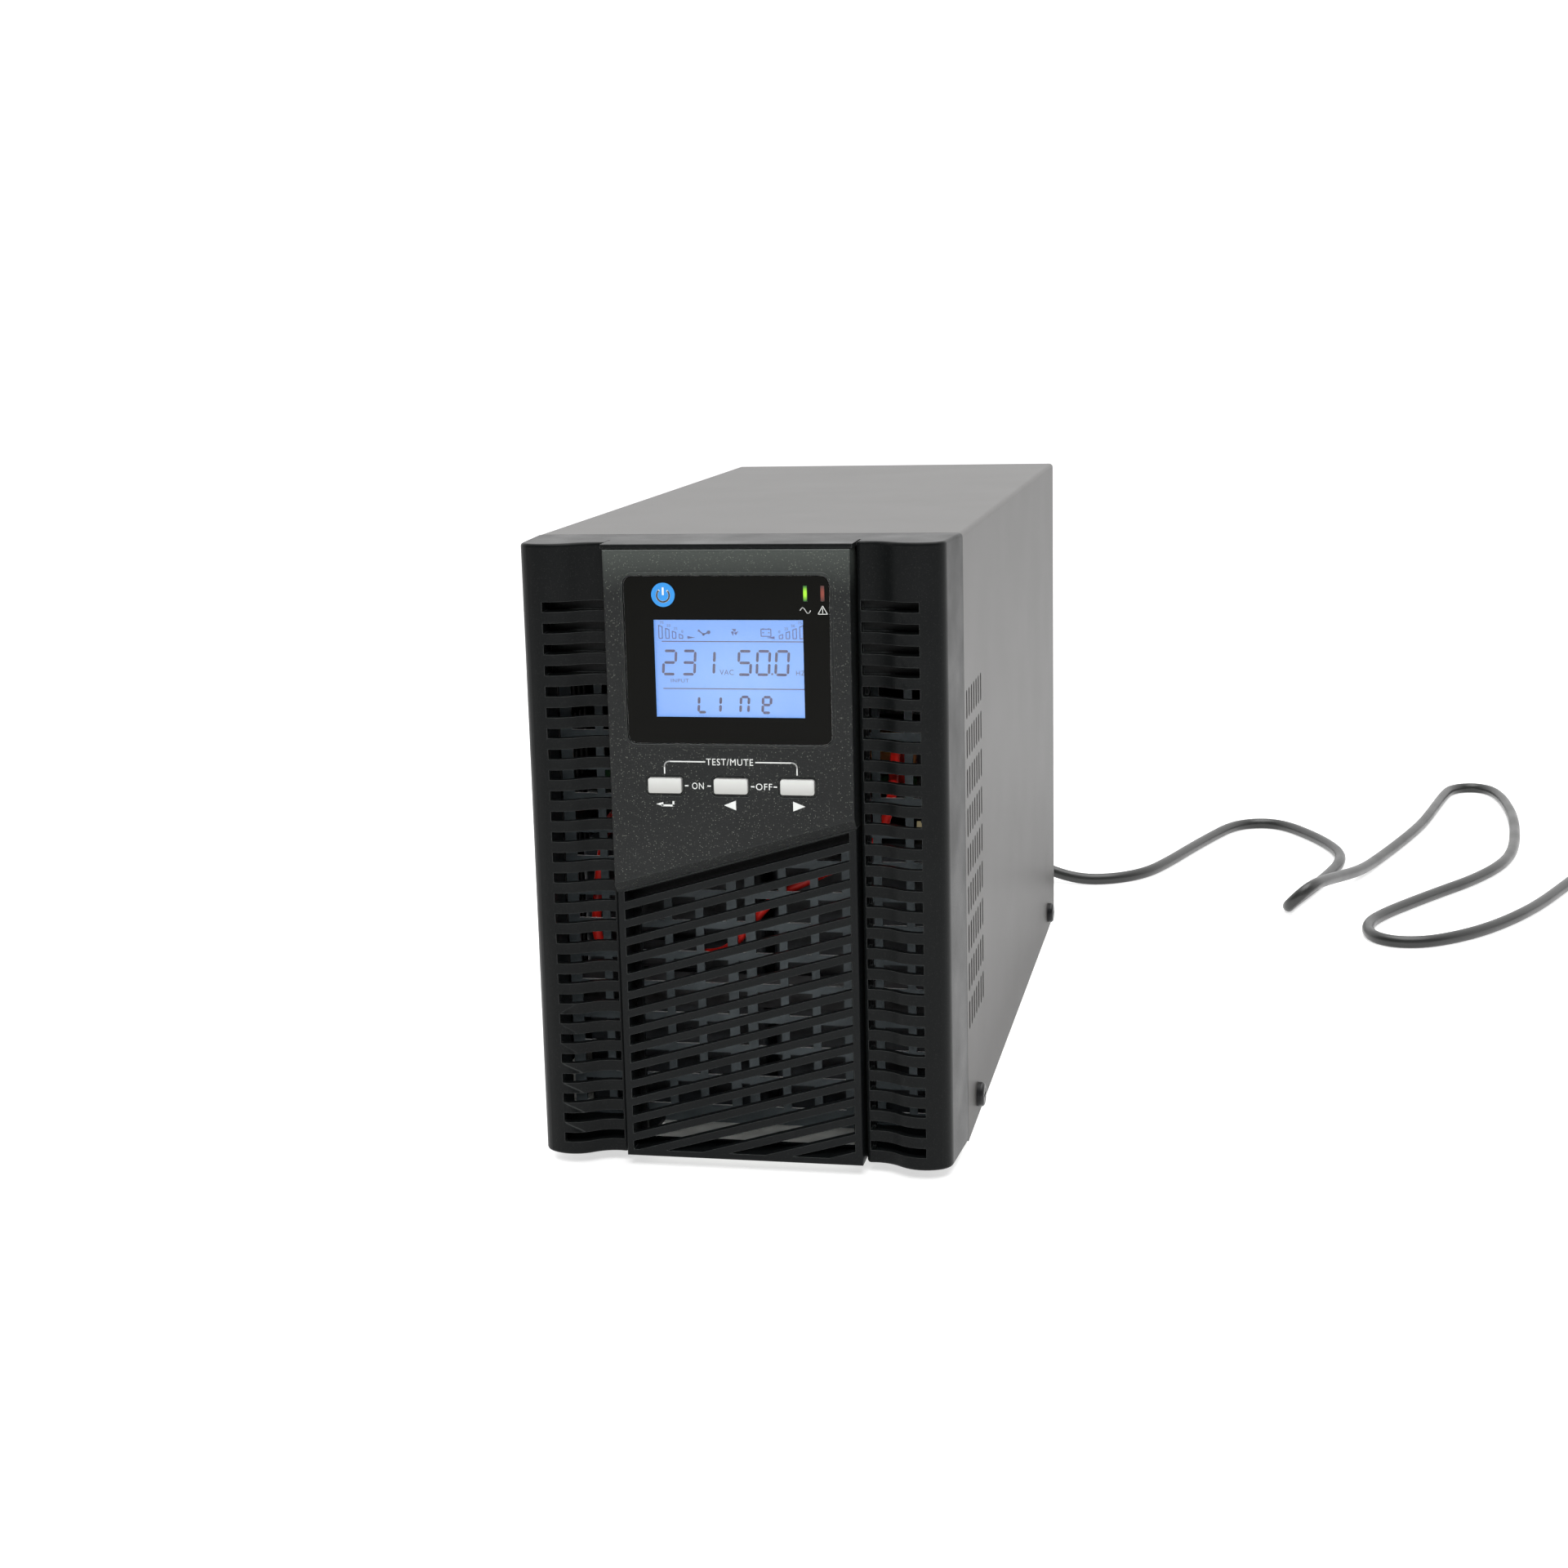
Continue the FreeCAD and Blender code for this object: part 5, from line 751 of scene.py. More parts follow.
@dataclass
class Display:
    """The lit display behind its window, with figures, rules and small symbols.

    The places and sizes of the figures and symbols are in millimetres from the display's lower left corner.
    """

    READINGS: ClassVar[tuple[tuple[str, tuple[float, ...], float, Place], ...]] = (
        ("231", (2.0, 8.4, 14.8), 13.6, (4.0, 7.6)),
        ("500", (26.9, 33.0, 39.2), 13.6, (4.0, 7.6)),
        ("LIne", (13.4, 20.6, 27.3, 34.6), 1.2, (2.6, 5.1)),
    )
    UNITS: ClassVar[tuple[tuple[str, Place, Place], ...]] = (
        ("VAC", (23.1, 14.3), (4.6, 1.7)),
        ("HZ", (47.4, 14.2), (2.9, 1.5)),
        ("INPUT", (7.5, 11.5), (6.0, 1.2)),
    )
    POINT: ClassVar[Place] = (38.1, 13.8)
    RULES: ClassVar[Place] = (24.3, 8.9)
    RULE_ENDS: ClassVar[Place] = (1.9, 48.9)

    stock: Stock
    width: float = 49 * MM
    height: float = 31.6 * MM
    border: float = 1.6 * MM
    depth: float = 0.3 * MM
    lean: float = 0.07
    gap: float = 0.075
    stroke: float = 0.85 * MM
    stroke_point: float = 0.36
    fine: float = 0.28 * MM
    rule: float = 0.3 * MM
    thin: float = 0.03 * MM
    centre: Vector = field(init=False)
    face: float = field(init=False)

    def __post_init__(self) -> None:
        """Find the display in the frame."""
        self.centre = middle_of("lcd_module")
        self.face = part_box("lcd_module")[0].y

    def at(self, u: float, v: float) -> Place:
        """Give the x and z of a place on the display.

        Args:
            u: Distance to the right.
            v: Distance upwards.

        Returns:
            The place in x and z.
        """
        return (self.centre.x - self.width / 2 + u * MM, self.centre.z - self.height / 2 + v * MM)

    def figure(self, art: Art, character: str, u: float, v: float, size: Place) -> None:
        """Add one seven-segment figure.

        Args:
            art: Artwork to add to.
            character: The figure.
            u: Its lower left corner to the right.
            v: Its lower left corner upwards.
            size: Width and height of the figure.
        """
        for stroke in FIGURES[character]:
            ends = []
            (c0, r0), (c1, r1) = stroke.value
            for column, row, sign in ((c0, r0, 1), (c1, r1, -1)):
                if c0 == c1:
                    row += sign * self.gap
                else:
                    column += sign * self.gap * 0.9
                rise = row * size[1] / 2
                ends.append(self.at(u + column * size[0] + rise * self.lean, v + rise))
            art.bar(*ends, self.stroke, self.stroke_point)

    def screen(self) -> None:
        """Add the lit glass."""
        mesh = bmesh.new()
        bmesh.ops.create_cube(mesh, size=1.0)
        size = Matrix.Diagonal((self.width + self.border, self.depth, self.height + self.border, 1))
        place = Matrix.Translation((self.centre.x, self.face - self.depth / 2, self.centre.z))
        bmesh.ops.transform(mesh, matrix=place @ size, verts=mesh.verts)
        bmesh.ops.bevel(mesh, geom=mesh.edges[:], offset=0.08 * MM, segments=2, **BEVEL)
        self.face -= self.depth
        brightest = (self.centre.x + 3 * MM, 0.0, self.centre.z - 3 * MM)
        light = LitFinish("display_light", (0.205, 0.435, 0.96), (0.15, 0.37, 0.95), 1.0, brightest,
                          (self.width / 2, self.height / 2))
        new_piece("lcd_screen", mesh, self.stock.get(light))

    def figures(self) -> None:
        """Add the large figures, the point between them and the rules."""
        art = Art(self.face)
        for characters, places, base, size in self.READINGS:
            for character, u in zip(characters, places):
                self.figure(art, character, u, base, size)
        art.disc(self.at(*self.POINT), 0.42 * MM, 4, math.pi / 4)
        for v in self.RULES:
            art.bar(*[self.at(u, v) for u in self.RULE_ENDS], self.rule)
        art.finish("lcd_figures", self.stock.get(SEGMENT), "display_glass")

    def symbols(self) -> None:
        """Add the small bar charts, the speaker, fan and battery symbols and the unit names."""
        art = Art(self.face, self.thin)
        for text, place, size in self.UNITS:
            art.words(text, self.at(*place), (size[0] * MM, size[1] * MM))
        for base, way in ((1.0, 1), (48.6, -1)):
            self.chart(art, base, way)
        self.battery_symbol(art, 36.4, 27.2)
        self.fan_symbol(art, 26.0, 27.4)
        self.mute_symbol(art, 16.0, 27.2)
        art.finish("lcd_symbols", self.stock.get(FAINT), "display_glass")

    def chart(self, art: Art, base: float, way: int) -> None:
        """Add a row of bar outlines that get lower towards the middle.

        Args:
            art: Artwork to add to.
            base: Place of the outermost bar.
            way: 1 to go to the right and -1 to go to the left.
        """
        pitch, wide, foot, fall, slope = 2.25, 1.15, 25.3, 0.95, 0.4
        for number, label in enumerate(("75", "50", "25", "0")):
            u0, u1 = base + way * number * pitch, base + way * (number * pitch + wide)
            top = 29.5 - number * fall
            corners = ((u0, foot), (u0, top), (u1, top - slope), (u1, foot), (u0, foot))
            art.path([self.at(*corner) for corner in corners], self.fine)
            art.words(label, self.at((u0 + u1) / 2 + way * 0.5, top + 0.9), (0.6 * len(label) * MM, 0.85 * MM))
        art.wedge(self.at(base + way * 10.3, 25.6), (2.6 * MM, 0.9 * MM), 0.0 if way > 0 else math.pi)

    def battery_symbol(self, art: Art, u: float, v: float) -> None:
        """Add a battery outline with its two poles.

        Args:
            art: Artwork to add to.
            u: Its middle to the right.
            v: Its middle upwards.
        """
        w, h, pole = 1.6, 1.15, 0.9
        box = [self.at(u + i * w, v + j * h) for i, j in ((-1, -1), (1, -1), (1, 1), (-1, 1), (-1, -1))]
        art.path(box, self.fine)
        for side in (-pole, pole):
            for half, rise, width in ((0.3, 0.0, self.fine), (0.25, 1.2, self.fine * 1.6)):
                art.bar(self.at(u + side - half, v + rise), self.at(u + side + half, v + rise), width)

    def fan_symbol(self, art: Art, u: float, v: float) -> None:
        """Add a fan of three blades.

        Args:
            art: Artwork to add to.
            u: Its middle to the right.
            v: Its middle upwards.
        """
        hub, sweep = 0.65, 1.2
        for degrees in (90, 210, 330):
            angle = math.radians(degrees)
            middle = self.at(u + hub * math.cos(angle), v + hub * math.sin(angle))
            art.wedge(middle, (1.5 * MM, 1.0 * MM), angle + sweep)

    def mute_symbol(self, art: Art, u: float, v: float) -> None:
        """Add a silenced sounder: a small and a large knob joined through a middle one.

        Args:
            art: Artwork to add to.
            u: Its middle to the right.
            v: Its middle upwards.
        """
        left, middle, right = self.at(u - 1.7, v + 0.6), self.at(u - 0.2, v - 0.6), self.at(u + 1.5, v + 0.1)
        art.path([left, middle, right], self.fine * 1.4)
        for place, radius in ((left, 0.38), (middle, 0.45), (right, 0.6)):
            art.disc(place, radius * MM, 12)

    def build(self) -> None:
        """Make the display."""
        self.stock.dress(BLACK_PART, "lcd_module")
        self.screen()
        self.figures()
        self.symbols()


@dataclass
class Window:
    """The clear window with its black printed mask, lamps and the marks beside them."""

    LAMPS: ClassVar[tuple[str, str]] = ("led_pipe_green", "led_pipe_red")

    stock: Stock
    display: Display
    mask_depth: float = 0.06 * MM
    ink: float = 0.03 * MM
    margin: float = 0.2 * MM
    corner: float = 2.8 * MM
    corner_steps: int = 6
    line: float = 0.2 * MM
    lamp_half: float = 0.62 * MM
    lamp_clear: float = 0.05 * MM
    mark_drop: float = 5.4 * MM
    wave_size: Place = (3.4 * MM, 0.95 * MM)
    wave_steps: int = 12
    sign_radius: float = 1.75 * MM
    badge_radius: float = 3.9 * MM
    badge_inset: Place = (13.2 * MM, 6.2 * MM)
    ring_radius: float = 2.1 * MM
    ring_line: float = 0.6 * MM
    low: Vector = field(init=False)
    high: Vector = field(init=False)

    def __post_init__(self) -> None:
        """Find the window in the frame."""
        self.low, self.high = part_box("lcd_window")

    def mask(self) -> None:
        """Add the glossy black print of the window, open over the display and the two lamps."""
        art = Art(self.low.y, self.mask_depth)
        left, bottom = self.display.at(0, 0)
        right, top = left + self.display.width, bottom + self.display.height
        x0, x1 = self.low.x + self.margin, self.high.x - self.margin
        z0, z1 = self.low.z + self.margin, self.high.z - self.margin
        in_x0, in_x1, in_z0, in_z1 = x0 + self.corner, x1 - self.corner, z0 + self.corner, z1 - self.corner
        lamp_low, lamp_high = (end.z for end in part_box(self.LAMPS[0]))
        lamp_low, lamp_high = lamp_low - self.lamp_clear, lamp_high + self.lamp_clear
        self.panel(art, x0, left, in_z0, top)
        self.panel(art, right, x1, in_z0, top)
        self.panel(art, left, right, in_z0, bottom)
        self.panel(art, in_x0, in_x1, z0, in_z0)
        self.panel(art, x0, x1, top, lamp_low)
        self.panel(art, x0, x1, lamp_high, in_z1)
        self.panel(art, in_x0, in_x1, in_z1, z1)
        for quarter, (x, z) in enumerate(((in_x1, in_z1), (in_x0, in_z1), (in_x0, in_z0), (in_x1, in_z0))):
            turns = [(quarter + step / self.corner_steps) * 90 for step in range(self.corner_steps + 1)]
            art.shape([(x, z), *arc((x, z), self.corner, turns)])
        edges = [x0]
        for node in self.LAMPS:
            middle = middle_of(node).x
            edges += [middle - self.lamp_half, middle + self.lamp_half]
        edges.append(x1)
        for start, end in zip(edges[::2], edges[1::2]):
            self.panel(art, start, end, lamp_low, lamp_high)
        art.finish("window_mask", self.stock.get(MASK), "window_plastic")

    def panel(self, art: Art, x0: float, x1: float, z0: float, z1: float) -> None:
        """Add one flat field of the mask.

        Args:
            art: Artwork to add to.
            x0: Left side.
            x1: Right side.
            z0: Lower side.
            z1: Upper side.
        """
        middle = (z0 + z1) / 2
        art.bar((x0, middle), (x1, middle), z1 - z0)

    def marks(self) -> None:
        """Add the wave and the triangle below the lamps."""
        art = Art(self.low.y - self.mask_depth, self.ink)
        green, red = (middle_of(node) for node in self.LAMPS)
        z = green.z - self.mark_drop
        length, swing = self.wave_size
        shares = [number / self.wave_steps for number in range(self.wave_steps + 1)]
        wave = [(green.x + (t - 0.5) * length, z + swing * math.sin(2 * math.pi * t)) for t in shares]
        art.path(wave, self.line * 1.15)
        corners = arc((red.x, z - 0.3 * MM), self.sign_radius, (90, 210, 330, 90))
        art.path(corners, self.line)
        art.disc(corners[0], self.line / 2)
        art.bar((red.x, z + 0.75 * MM), (red.x, z - 0.95 * MM), self.line)
        art.finish("lamp_marks", self.stock.get(WHITE_PRINT), "button_silver")

    def badge(self) -> None:
        """Add a plain round badge with the usual power symbol at the upper left."""
        x, z = self.low.x + self.badge_inset[0], self.high.z - self.badge_inset[1]
        disc = Art(self.low.y - self.mask_depth, self.ink)
        disc.disc((x, z), self.badge_radius, 48)
        disc.finish("window_badge", self.stock.get(BADGE), "display_glass")
        art = Art(self.low.y - self.mask_depth - self.ink, self.ink)
        art.path(arc((x, z - 0.2 * MM), self.ring_radius, range(125, 416, 15)), self.ring_line)
        art.bar((x, z + 2.4 * MM), (x, z - 0.1 * MM), self.ring_line)
        art.finish("badge_symbol", self.stock.get(WHITE_PRINT), "button_silver")

    def lamps(self) -> None:
        """Light the green lamp and leave the red one dim."""
        looks = (((0.42, 0.95, 0.02), (0.01, 0.13, 0.01), 1.0), ((0.34, 0.045, 0.02), (0.09, 0.015, 0.01), 0.7))
        for node, look in zip(self.LAMPS, looks):
            self.stock.dress(LitFinish(node, *look, tuple(middle_of(node)), (1.0 * MM, 1.9 * MM)), node)

    def build(self) -> None:
        """Make the window."""
        self.stock.dress(CLEAR, "lcd_window")
        self.mask()
        self.marks()
        self.badge()
        self.lamps()


@dataclass
class Front:
    """Bezel, control panel with its print and buttons, and the slanted grille."""

    BUTTONS: ClassVar[tuple[str, str, str]] = ("enter_button", "left_button", "right_button")

    stock: Stock
    rim: float = 0.4 * MM
    line: float = 0.4 * MM
    cap: float = 2.2 * MM
    bracket_rise: Place = (3.9 * MM, 8.0 * MM)
    bracket_turn: float = 1.6 * MM
    words_half: float = 8.3 * MM
    dash_half: float = 0.6 * MM
    dash_out: float = 3.75 * MM
    arrow_drop: float = 6.3 * MM
    arrow: Place = (4.0 * MM, 3.2 * MM)

    def print_on_panel(self) -> None:
        """Add the white lines, words and arrows round the three buttons."""
        art = Art(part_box("control_panel")[0].y + self.rim)
        enter, left, right = (middle_of(node) for node in self.BUTTONS)
        foot, top = (enter.z + rise for rise in self.bracket_rise)
        turn = self.bracket_turn
        for end, sign in ((enter, 1), (right, -1)):
            bend = arc((0.0, top - turn), turn, range(0, 91, 18))
            bend = [(end.x + sign * (turn - x), z) for x, z in bend]
            art.path([(end.x, foot), *bend, (left.x - sign * self.words_half, top)], self.line)
        art.words("TEST/MUTE", (left.x - 0.2 * MM, top), (15.6 * MM, self.cap))
        for a, b, word, width in ((enter, left, "ON", 3.9 * MM), (left, right, "OFF", 5.4 * MM)):
            middle = (a.x + b.x) / 2
            art.words(word, (middle, left.z), (width, self.cap))
            for at in (middle - self.dash_out, middle + self.dash_out):
                art.bar((at - self.dash_half, left.z), (at + self.dash_half, left.z), self.line)
        below = enter.z - self.arrow_drop
        art.wedge((left.x + 0.2 * MM, below), self.arrow, math.pi)
        art.wedge((right.x - 0.2 * MM, below), self.arrow, 0.0)
        art.wedge((enter.x - 1.6 * MM, below + 0.05 * MM), (2.4 * MM, 1.4 * MM), math.pi)
        art.bar((enter.x - 1.5 * MM, below - 0.35 * MM), (enter.x + 2.9 * MM, below - 0.35 * MM), 0.65 * MM)
        art.bar((enter.x + 2.6 * MM, below - 0.6 * MM), (enter.x + 2.6 * MM, below + 1.1 * MM), 0.6 * MM)
        art.finish("panel_print", self.stock.get(WHITE_PRINT), "button_silver")

    def build(self) -> None:
        """Dress the front."""
        self.stock.dress(BEZEL, "front_bezel")
        self.stock.dress(PANEL, "control_panel")
        self.stock.dress(GRILLE, "lower_grille")
        low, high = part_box("left_button")
        self.stock.dress(replace(SILVER, top_highlight=(low.z - 0.5 * MM, high.z)), *self.BUTTONS)
        self.stock.dress(BLACK_PART, "enter_plunger", "left_plunger", "right_plunger", "tact_switches")
        self.stock.dress(BOARD, "display_board")
        self.print_on_panel()


# ------------------------------------------------------------------ case and inside


@dataclass
class Case:
    """Cover, chassis, feet and screws."""

    stock: Stock

    def build(self) -> None:
        """Dress the sheet metal."""
        self.stock.dress(COVER, "top_cover")
        self.stock.dress(PAINT, "rear_panel", "slot_cover")
        self.stock.dress(PLATE, "front_plate")
        self.stock.dress(PAN, "chassis_base")
        self.stock.dress(ZINC, "board_shelf")
        self.stock.dress(BLACK_PART, "battery_bracket")
        self.stock.dress(BLACK_SCREW, "cover_screws")
        self.stock.dress(RUBBER, "rubber_feet")


@dataclass
class Inside:
    """Batteries, leads and power electronics."""

    stock: Stock

    def build(self) -> None:
        """Dress the pieces inside."""
        self.stock.dress(BATTERY, "battery_left", "battery_right")
        self.stock.dress(BRASS, "battery_terminals")
        self.stock.dress(RED_LEAD, "battery_lead_red")
        self.stock.dress(BLACK_LEAD, "battery_lead_black", "battery_link")
        self.stock.dress(BOARD, "main_board")
        self.stock.dress(ALUMINIUM, "heatsinks")
        self.stock.dress(NICKEL, "board_standoffs")
        self.stock.dress(RIBBON, "display_ribbon")
        self.stock.dress(SLEEVE, "bus_capacitors")
        self.stock.dress(COPPER, "power_inductors")
        self.stock.dress(FERRITE, "power_transformer")
        self.stock.dress(RELAY, "relays")
        self.stock.dress(BLACK_PART, "fuse_holder", "power_transistors")


@dataclass
class Rear:
    """Fan, outlets, sockets and breaker."""

    stock: Stock

    def build(self) -> None:
        """Dress the rear."""
        self.stock.dress(BLACK_PART, "fan_frame", "fan_rotor")
        self.stock.dress(NICKEL, "fan_guard", "fan_screws", "slot_cover_screws")
        for node, half in (("serial_port", (6.6 * MM, 3.4 * MM)), ("usb_port", (3.1 * MM, 1.9 * MM))):
            middle = middle_of(node)
            shell = replace(NICKEL, name=f"{node}_shell", insert=(middle.x, middle.z, *half))
            self.stock.dress(shell, node)
        self.stock.dress(SOCKET, "outlet_left", "outlet_middle", "outlet_right", "surge_jacks", "breaker_body",
                         "breaker_button")


# ------------------------------------------------------------------ mains lead


@dataclass
class MainsLead:
    """The mains lead: from the strain relief over the floor in loose loops to a tied coil and the plug."""

    stock: Stock
    diameter: float = 5.5 * MM
    length: float = 1.80
    coil_radius: float = 30 * MM
    coil_points: int = 16
    turns: float = 1.5
    shift: Vector = field(default_factory=lambda: Vector((0.0, -0.1766, 0.0)))
    coil_centre: Place = (0.380, 0.540)
    climb_points: int = 3

    def descent(self) -> list[Triple]:
        """Give the points from the strain relief down to the floor.

        Returns:
            The places in x, y and z.
        """
        return [
            (0.024, 0.379, 0.040),
            (0.024, 0.3965, 0.039),
            (0.024, 0.414, 0.0325),
            (0.031, 0.4275, 0.0235),
            (0.044, 0.4355, 0.0145),
            (0.059, 0.435, 0.006),
        ]

    def first_bend(self) -> list[Place]:
        """Give the points of the first loop on the floor.

        Returns:
            The places in x and y.
        """
        return [
            (0.077, 0.4275), (0.094, 0.4305), (0.109, 0.445), (0.119, 0.471), (0.129, 0.503), (0.139, 0.532),
            (0.147, 0.5535), (0.1555, 0.5635), (0.1665, 0.5665), (0.1765, 0.561), (0.186, 0.546), (0.1965, 0.524),
            (0.204, 0.500), (0.2045, 0.478), (0.198, 0.449), (0.1885, 0.417), (0.1815, 0.395),
        ]

    def fold(self) -> list[Triple]:
        """Give the points of the tight fold that stands a little off the floor.

        Returns:
            The places in x, y and z.
        """
        floor = self.diameter / 2
        return [
            (0.1777, 0.3806, floor),
            (0.182, 0.3745, floor + 6.3 * MM),
            (0.1887, 0.378, floor + 11.5 * MM),
            (0.195, 0.396, floor + 10.0 * MM),
            (0.204, 0.425, floor + 5.5 * MM),
            (0.2145, 0.456, floor + 1.5 * MM),
        ]

    def loops(self) -> list[Place]:
        """Give the points of the long loops on the floor, as far as the coil.

        Returns:
            The places in x and y.
        """
        return [
            (0.225, 0.492), (0.237, 0.530), (0.2485, 0.570), (0.256, 0.606), (0.262, 0.636), (0.2655, 0.652),
            (0.2685, 0.663), (0.275, 0.671), (0.284, 0.6725), (0.291, 0.666), (0.2945, 0.654), (0.297, 0.632),
            (0.298, 0.592), (0.295, 0.545), (0.290, 0.505), (0.281, 0.474), (0.266, 0.444), (0.250, 0.420),
            (0.2355, 0.397), (0.2235, 0.377), (0.2155, 0.360), (0.2135, 0.345), (0.216, 0.332), (0.2245, 0.3245),
            (0.2365, 0.325), (0.249, 0.333), (0.264, 0.3485), (0.279, 0.371), (0.293, 0.398), (0.306, 0.430),
            (0.320, 0.466), (0.334, 0.495), (0.345, 0.520),
        ]

    def coil(self) -> list[Triple]:
        """Give the points of the coil, a full turn on the floor and the rest on top of it.

        Returns:
            The places in x, y and z.
        """
        x, y = self.coil_centre
        step = 2 * math.pi / self.coil_points
        radius = self.coil_radius / math.cos(step / 2)
        floor = self.diameter / 2
        points = []
        for number in range(int(self.turns * self.coil_points) + 1):
            angle = math.pi - number * step
            climb = (number - self.coil_points + 2) / self.climb_points
            level = min(max(climb, 0.0), 1.0)
            points.append((x + radius * math.cos(angle), y + radius * math.sin(angle), floor + level * self.diameter))
        return points

    def tail(self) -> list[Triple]:
        """Give the points from the coil to the plug.

        Returns:
            The places in x, y and z.
        """
        x, y = self.coil_centre
        plug_x, _, plug_z = middle_of("mains_plug")
        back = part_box("mains_plug")[1].y - self.shift.y
        side = x + self.coil_radius
        top = self.diameter * 1.5
        return [
            (side + 0.3 * MM, y - 14 * MM, top + 1.0 * MM),
            (side + 1.5 * MM, y - 29 * MM, plug_z - 4.0 * MM),
            (plug_x, y - 43 * MM, plug_z - 0.4 * MM),
            (plug_x, back, plug_z),
        ]

    def route(self) -> list[Vector]:
        """Join the stretches into one route in the frame.

        Returns:
            The places along the lead.
        """
        floor = self.diameter / 2
        points = self.descent() + [(x, y, floor) for x, y in self.first_bend()] + self.fold()
        points += [(x, y, floor) for x, y in self.loops()] + self.coil() + self.tail()
        return [Vector(p) + self.shift for p in points]

    def build(self) -> None:
        """Make the lead and dress what is on it."""
        curve = bpy.data.curves.new("mains_lead", "CURVE")
        curve.dimensions = "3D"
        curve.bevel_depth = self.diameter / 2
        curve.bevel_resolution = 6
        curve.resolution_u = 6
        curve.use_fill_caps = True
        spline = curve.splines.new("NURBS")
        route = self.route()
        spline.points.add(len(route) - 1)
        for point, place in zip(spline.points, route):
            point.co = (*place, 1.0)
        spline.order_u = 3
        spline.use_endpoint_u = True
        curve.materials.append(self.stock.get(LEAD_SHEATH))
        lead = bpy.data.objects.new("mains_lead", curve)
        bpy.context.scene.collection.objects.link(lead)
        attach(lead, HOUSING)
        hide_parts("mains_cord", "cord_coil")
        self.stock.dress(RUBBER, "strain_relief", "mains_plug", "coil_tie")
        self.stock.dress(NICKEL, "plug_contacts")
        LOG.info("mains_lead: %d points", len(route))


# ------------------------------------------------------------------ studio


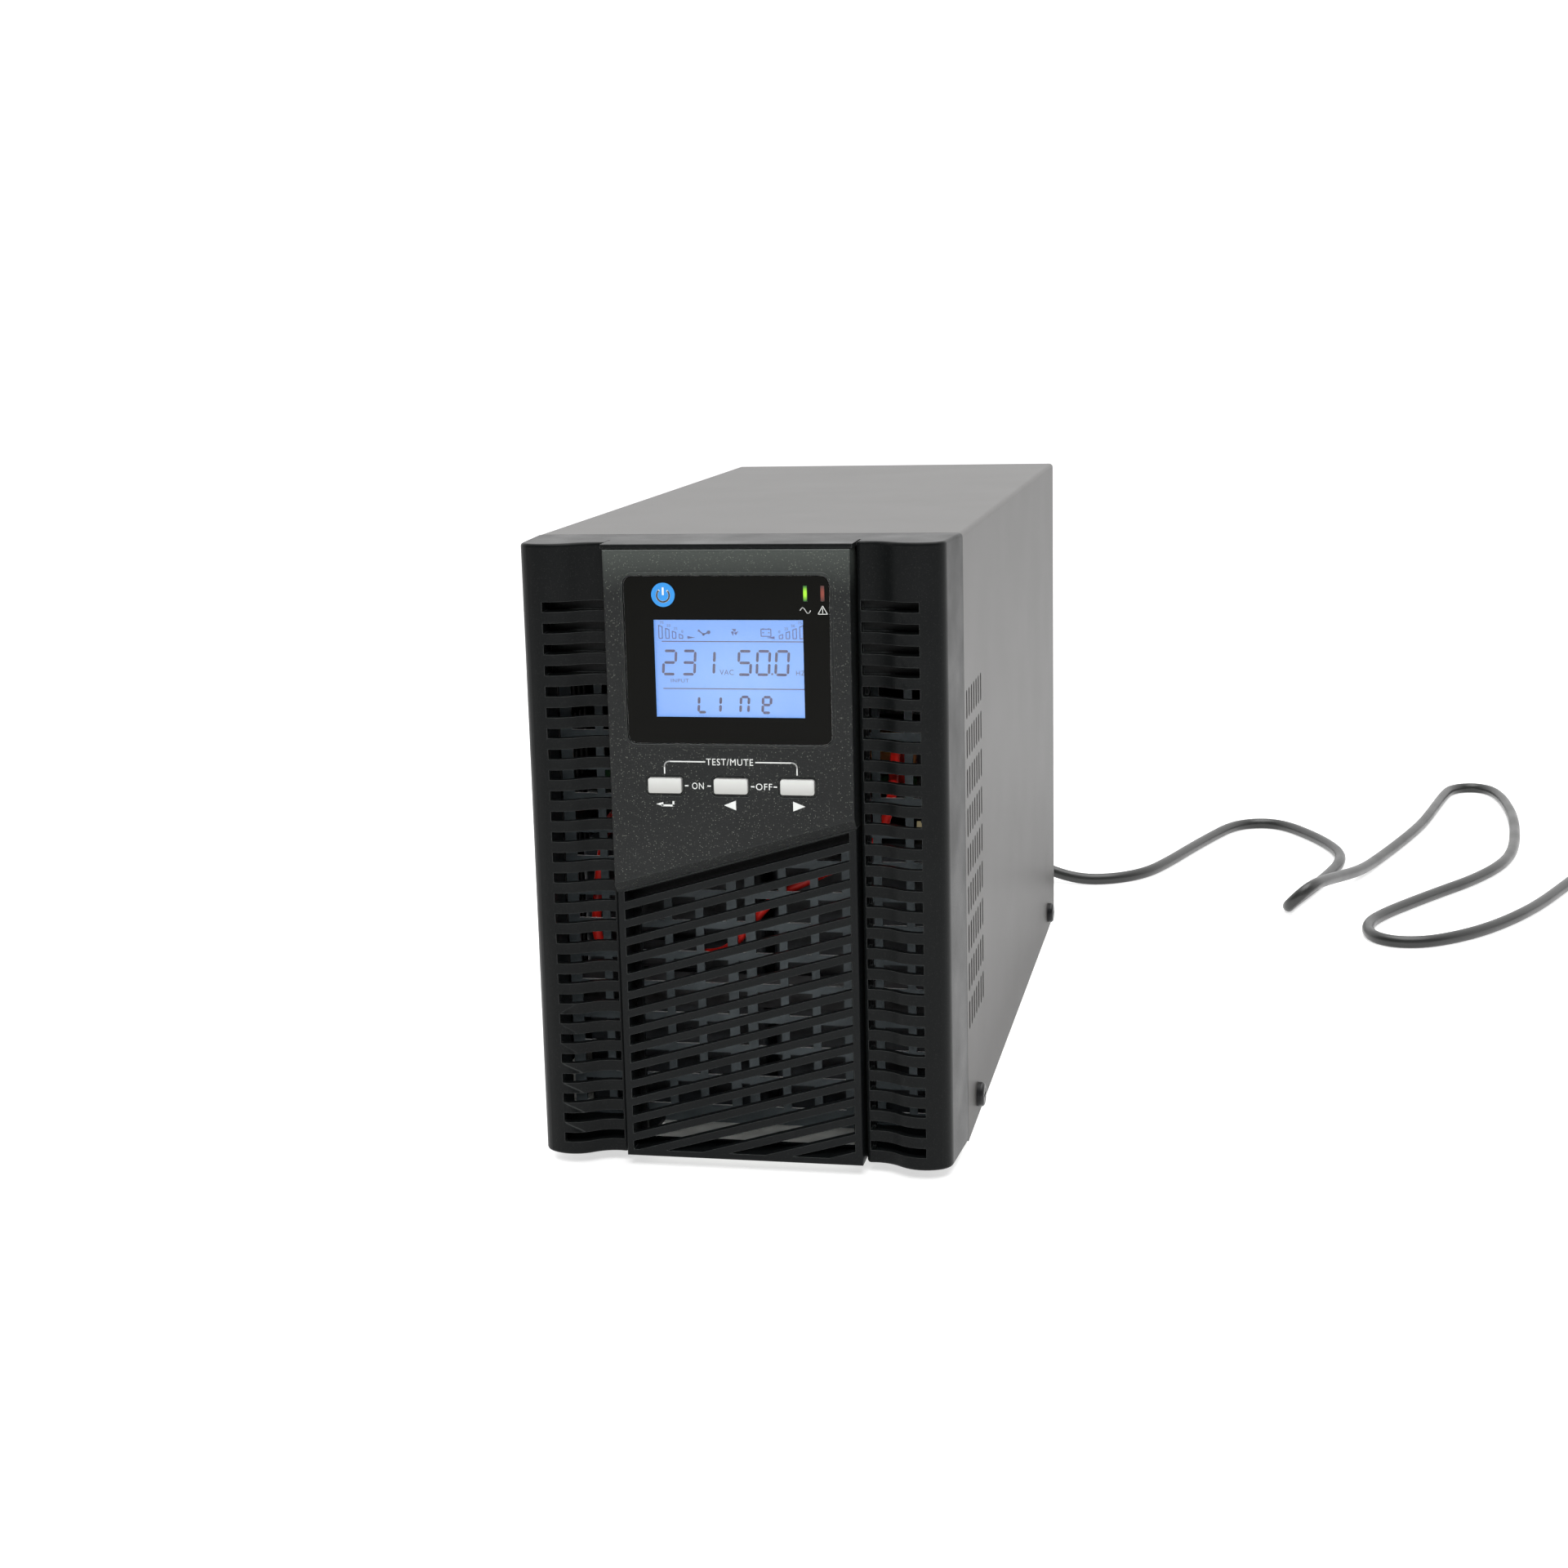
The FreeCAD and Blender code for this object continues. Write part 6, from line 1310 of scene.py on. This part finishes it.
@dataclass
class Studio:
    """Floor, backdrop light, lamps and camera."""

    LAMPS: ClassVar[tuple[tuple[str, Triple, Place, float, bool], ...]] = (
        ("overhead", (0.2, 0.1, 1.8), (2.0, 1.6), 40.0, True),
        ("front", (0.3, -1.6, 1.0), (0.5, 0.3), 40.0, False),
    )

    lens: float = 56.12
    sensor: float = 36.0
    eye: Triple = (0.1758, -0.9338, 0.2920)
    look: Triple = (-0.2005, 0.9597, -0.1971)
    top: Triple = (-0.0158, 0.198, 0.9801)
    floor_half: float = 30.0
    floor_tones: Place = (0.50, 0.52)
    floor_light: float = 0.62
    room_span: Place = (-0.45, 0.35)
    room_light: Place = (0.13, 1.25)

    def camera(self) -> None:
        """Place the camera."""
        data = bpy.data.cameras.new("camera")
        data.lens = self.lens
        data.sensor_width = self.sensor
        data.sensor_fit = "HORIZONTAL"
        data.clip_start = 0.01
        camera = bpy.data.objects.new("camera", data)
        back = -Vector(self.look).normalized()
        right = Vector(self.top).cross(back).normalized()
        up = back.cross(right)
        turn = Matrix((right, up, back)).transposed().to_4x4()
        camera.matrix_world = Matrix.Translation(self.eye) @ turn
        bpy.context.scene.collection.objects.link(camera)
        bpy.context.scene.camera = camera

    def floor(self) -> None:
        """Add a large pale floor."""
        mesh = bmesh.new()
        bmesh.ops.create_grid(mesh, x_segments=1, y_segments=1, size=self.floor_half)
        data = bpy.data.meshes.new("floor")
        mesh.to_mesh(data)
        mesh.free()
        sheet = Sheet("floor_paper")
        sheet.set(Roughness=0.8, Specular_IOR_Level=0.1, Emission_Color=(1.0, 1.0, 1.0, 1.0),
                  Emission_Strength=self.floor_light)
        dark, light = (solid((tone, tone, tone)) for tone in self.floor_tones)
        sheet.join(sheet.blend(sheet.rise(sheet.noise(2.0, 2.0), Finish.NOISE_SPAN), dark, light), "Base Color")
        data.materials.append(sheet.material)
        floor = bpy.data.objects.new("floor", data)
        bpy.context.scene.collection.objects.link(floor)

    def lamp(self, name: str, place: Triple, size: Place, power: float, shine: bool) -> None:
        """Add a soft rectangular lamp that faces the middle of the unit.

        Args:
            name: Its name.
            place: Where it stands.
            size: Its width and height.
            power: Its power in watts.
            shine: Whether it shows in glossy surfaces.
        """
        data = bpy.data.lights.new(name, "AREA")
        data.shape = "RECTANGLE"
        data.size, data.size_y = size
        data.energy = power
        lamp = bpy.data.objects.new(name, data)
        aim = Vector((0.0, 0.0, 100 * MM)) - Vector(place)
        lamp.matrix_world = Matrix.Translation(place) @ aim.to_track_quat("-Z", "Y").to_matrix().to_4x4()
        lamp.visible_glossy = shine
        bpy.context.scene.collection.objects.link(lamp)

    def light(self) -> None:
        """Add the soft studio light."""
        world = bpy.data.worlds.new("studio")
        world.use_nodes = True
        tree = world.node_tree
        background = next(n for n in tree.nodes if n.type == "BACKGROUND")
        background.inputs["Strength"].default_value = 1.0
        split = tree.nodes.new("ShaderNodeSeparateXYZ")
        tree.links.new(tree.nodes.new("ShaderNodeTexCoord").outputs["Generated"], split.inputs[0])
        ramp = tree.nodes.new("ShaderNodeMapRange")
        ramp.interpolation_type = "SMOOTHSTEP"
        names = ("From Min", "From Max", "To Min", "To Max")
        for name, value in zip(names, self.room_span + self.room_light):
            ramp.inputs[name].default_value = value
        tree.links.new(split.outputs["Y"], ramp.inputs["Value"])
        seen = tree.nodes.new("ShaderNodeMath")
        seen.operation = "MAXIMUM"
        tree.links.new(ramp.outputs["Result"], seen.inputs[0])
        tree.links.new(tree.nodes.new("ShaderNodeLightPath").outputs["Is Camera Ray"], seen.inputs[1])
        tree.links.new(seen.outputs[0], background.inputs["Color"])
        bpy.context.scene.world = world
        bpy.context.scene.view_settings.view_transform = "Standard"
        for settings in self.LAMPS:
            self.lamp(*settings)

    def build(self) -> None:
        """Set up the studio."""
        self.camera()
        self.floor()
        self.light()


def main() -> None:
    """Build every piece around the frame."""
    logging.basicConfig(level=logging.INFO, format="%(message)s")
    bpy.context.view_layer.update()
    stock = Stock()
    Studio().build()
    MainsLead(stock).build()
    Front(stock).build()
    display = Display(stock)
    display.build()
    Window(stock, display).build()
    Case(stock).build()
    Inside(stock).build()
    Rear(stock).build()
    bpy.context.view_layer.update()


if __name__ == "__main__":
    main()
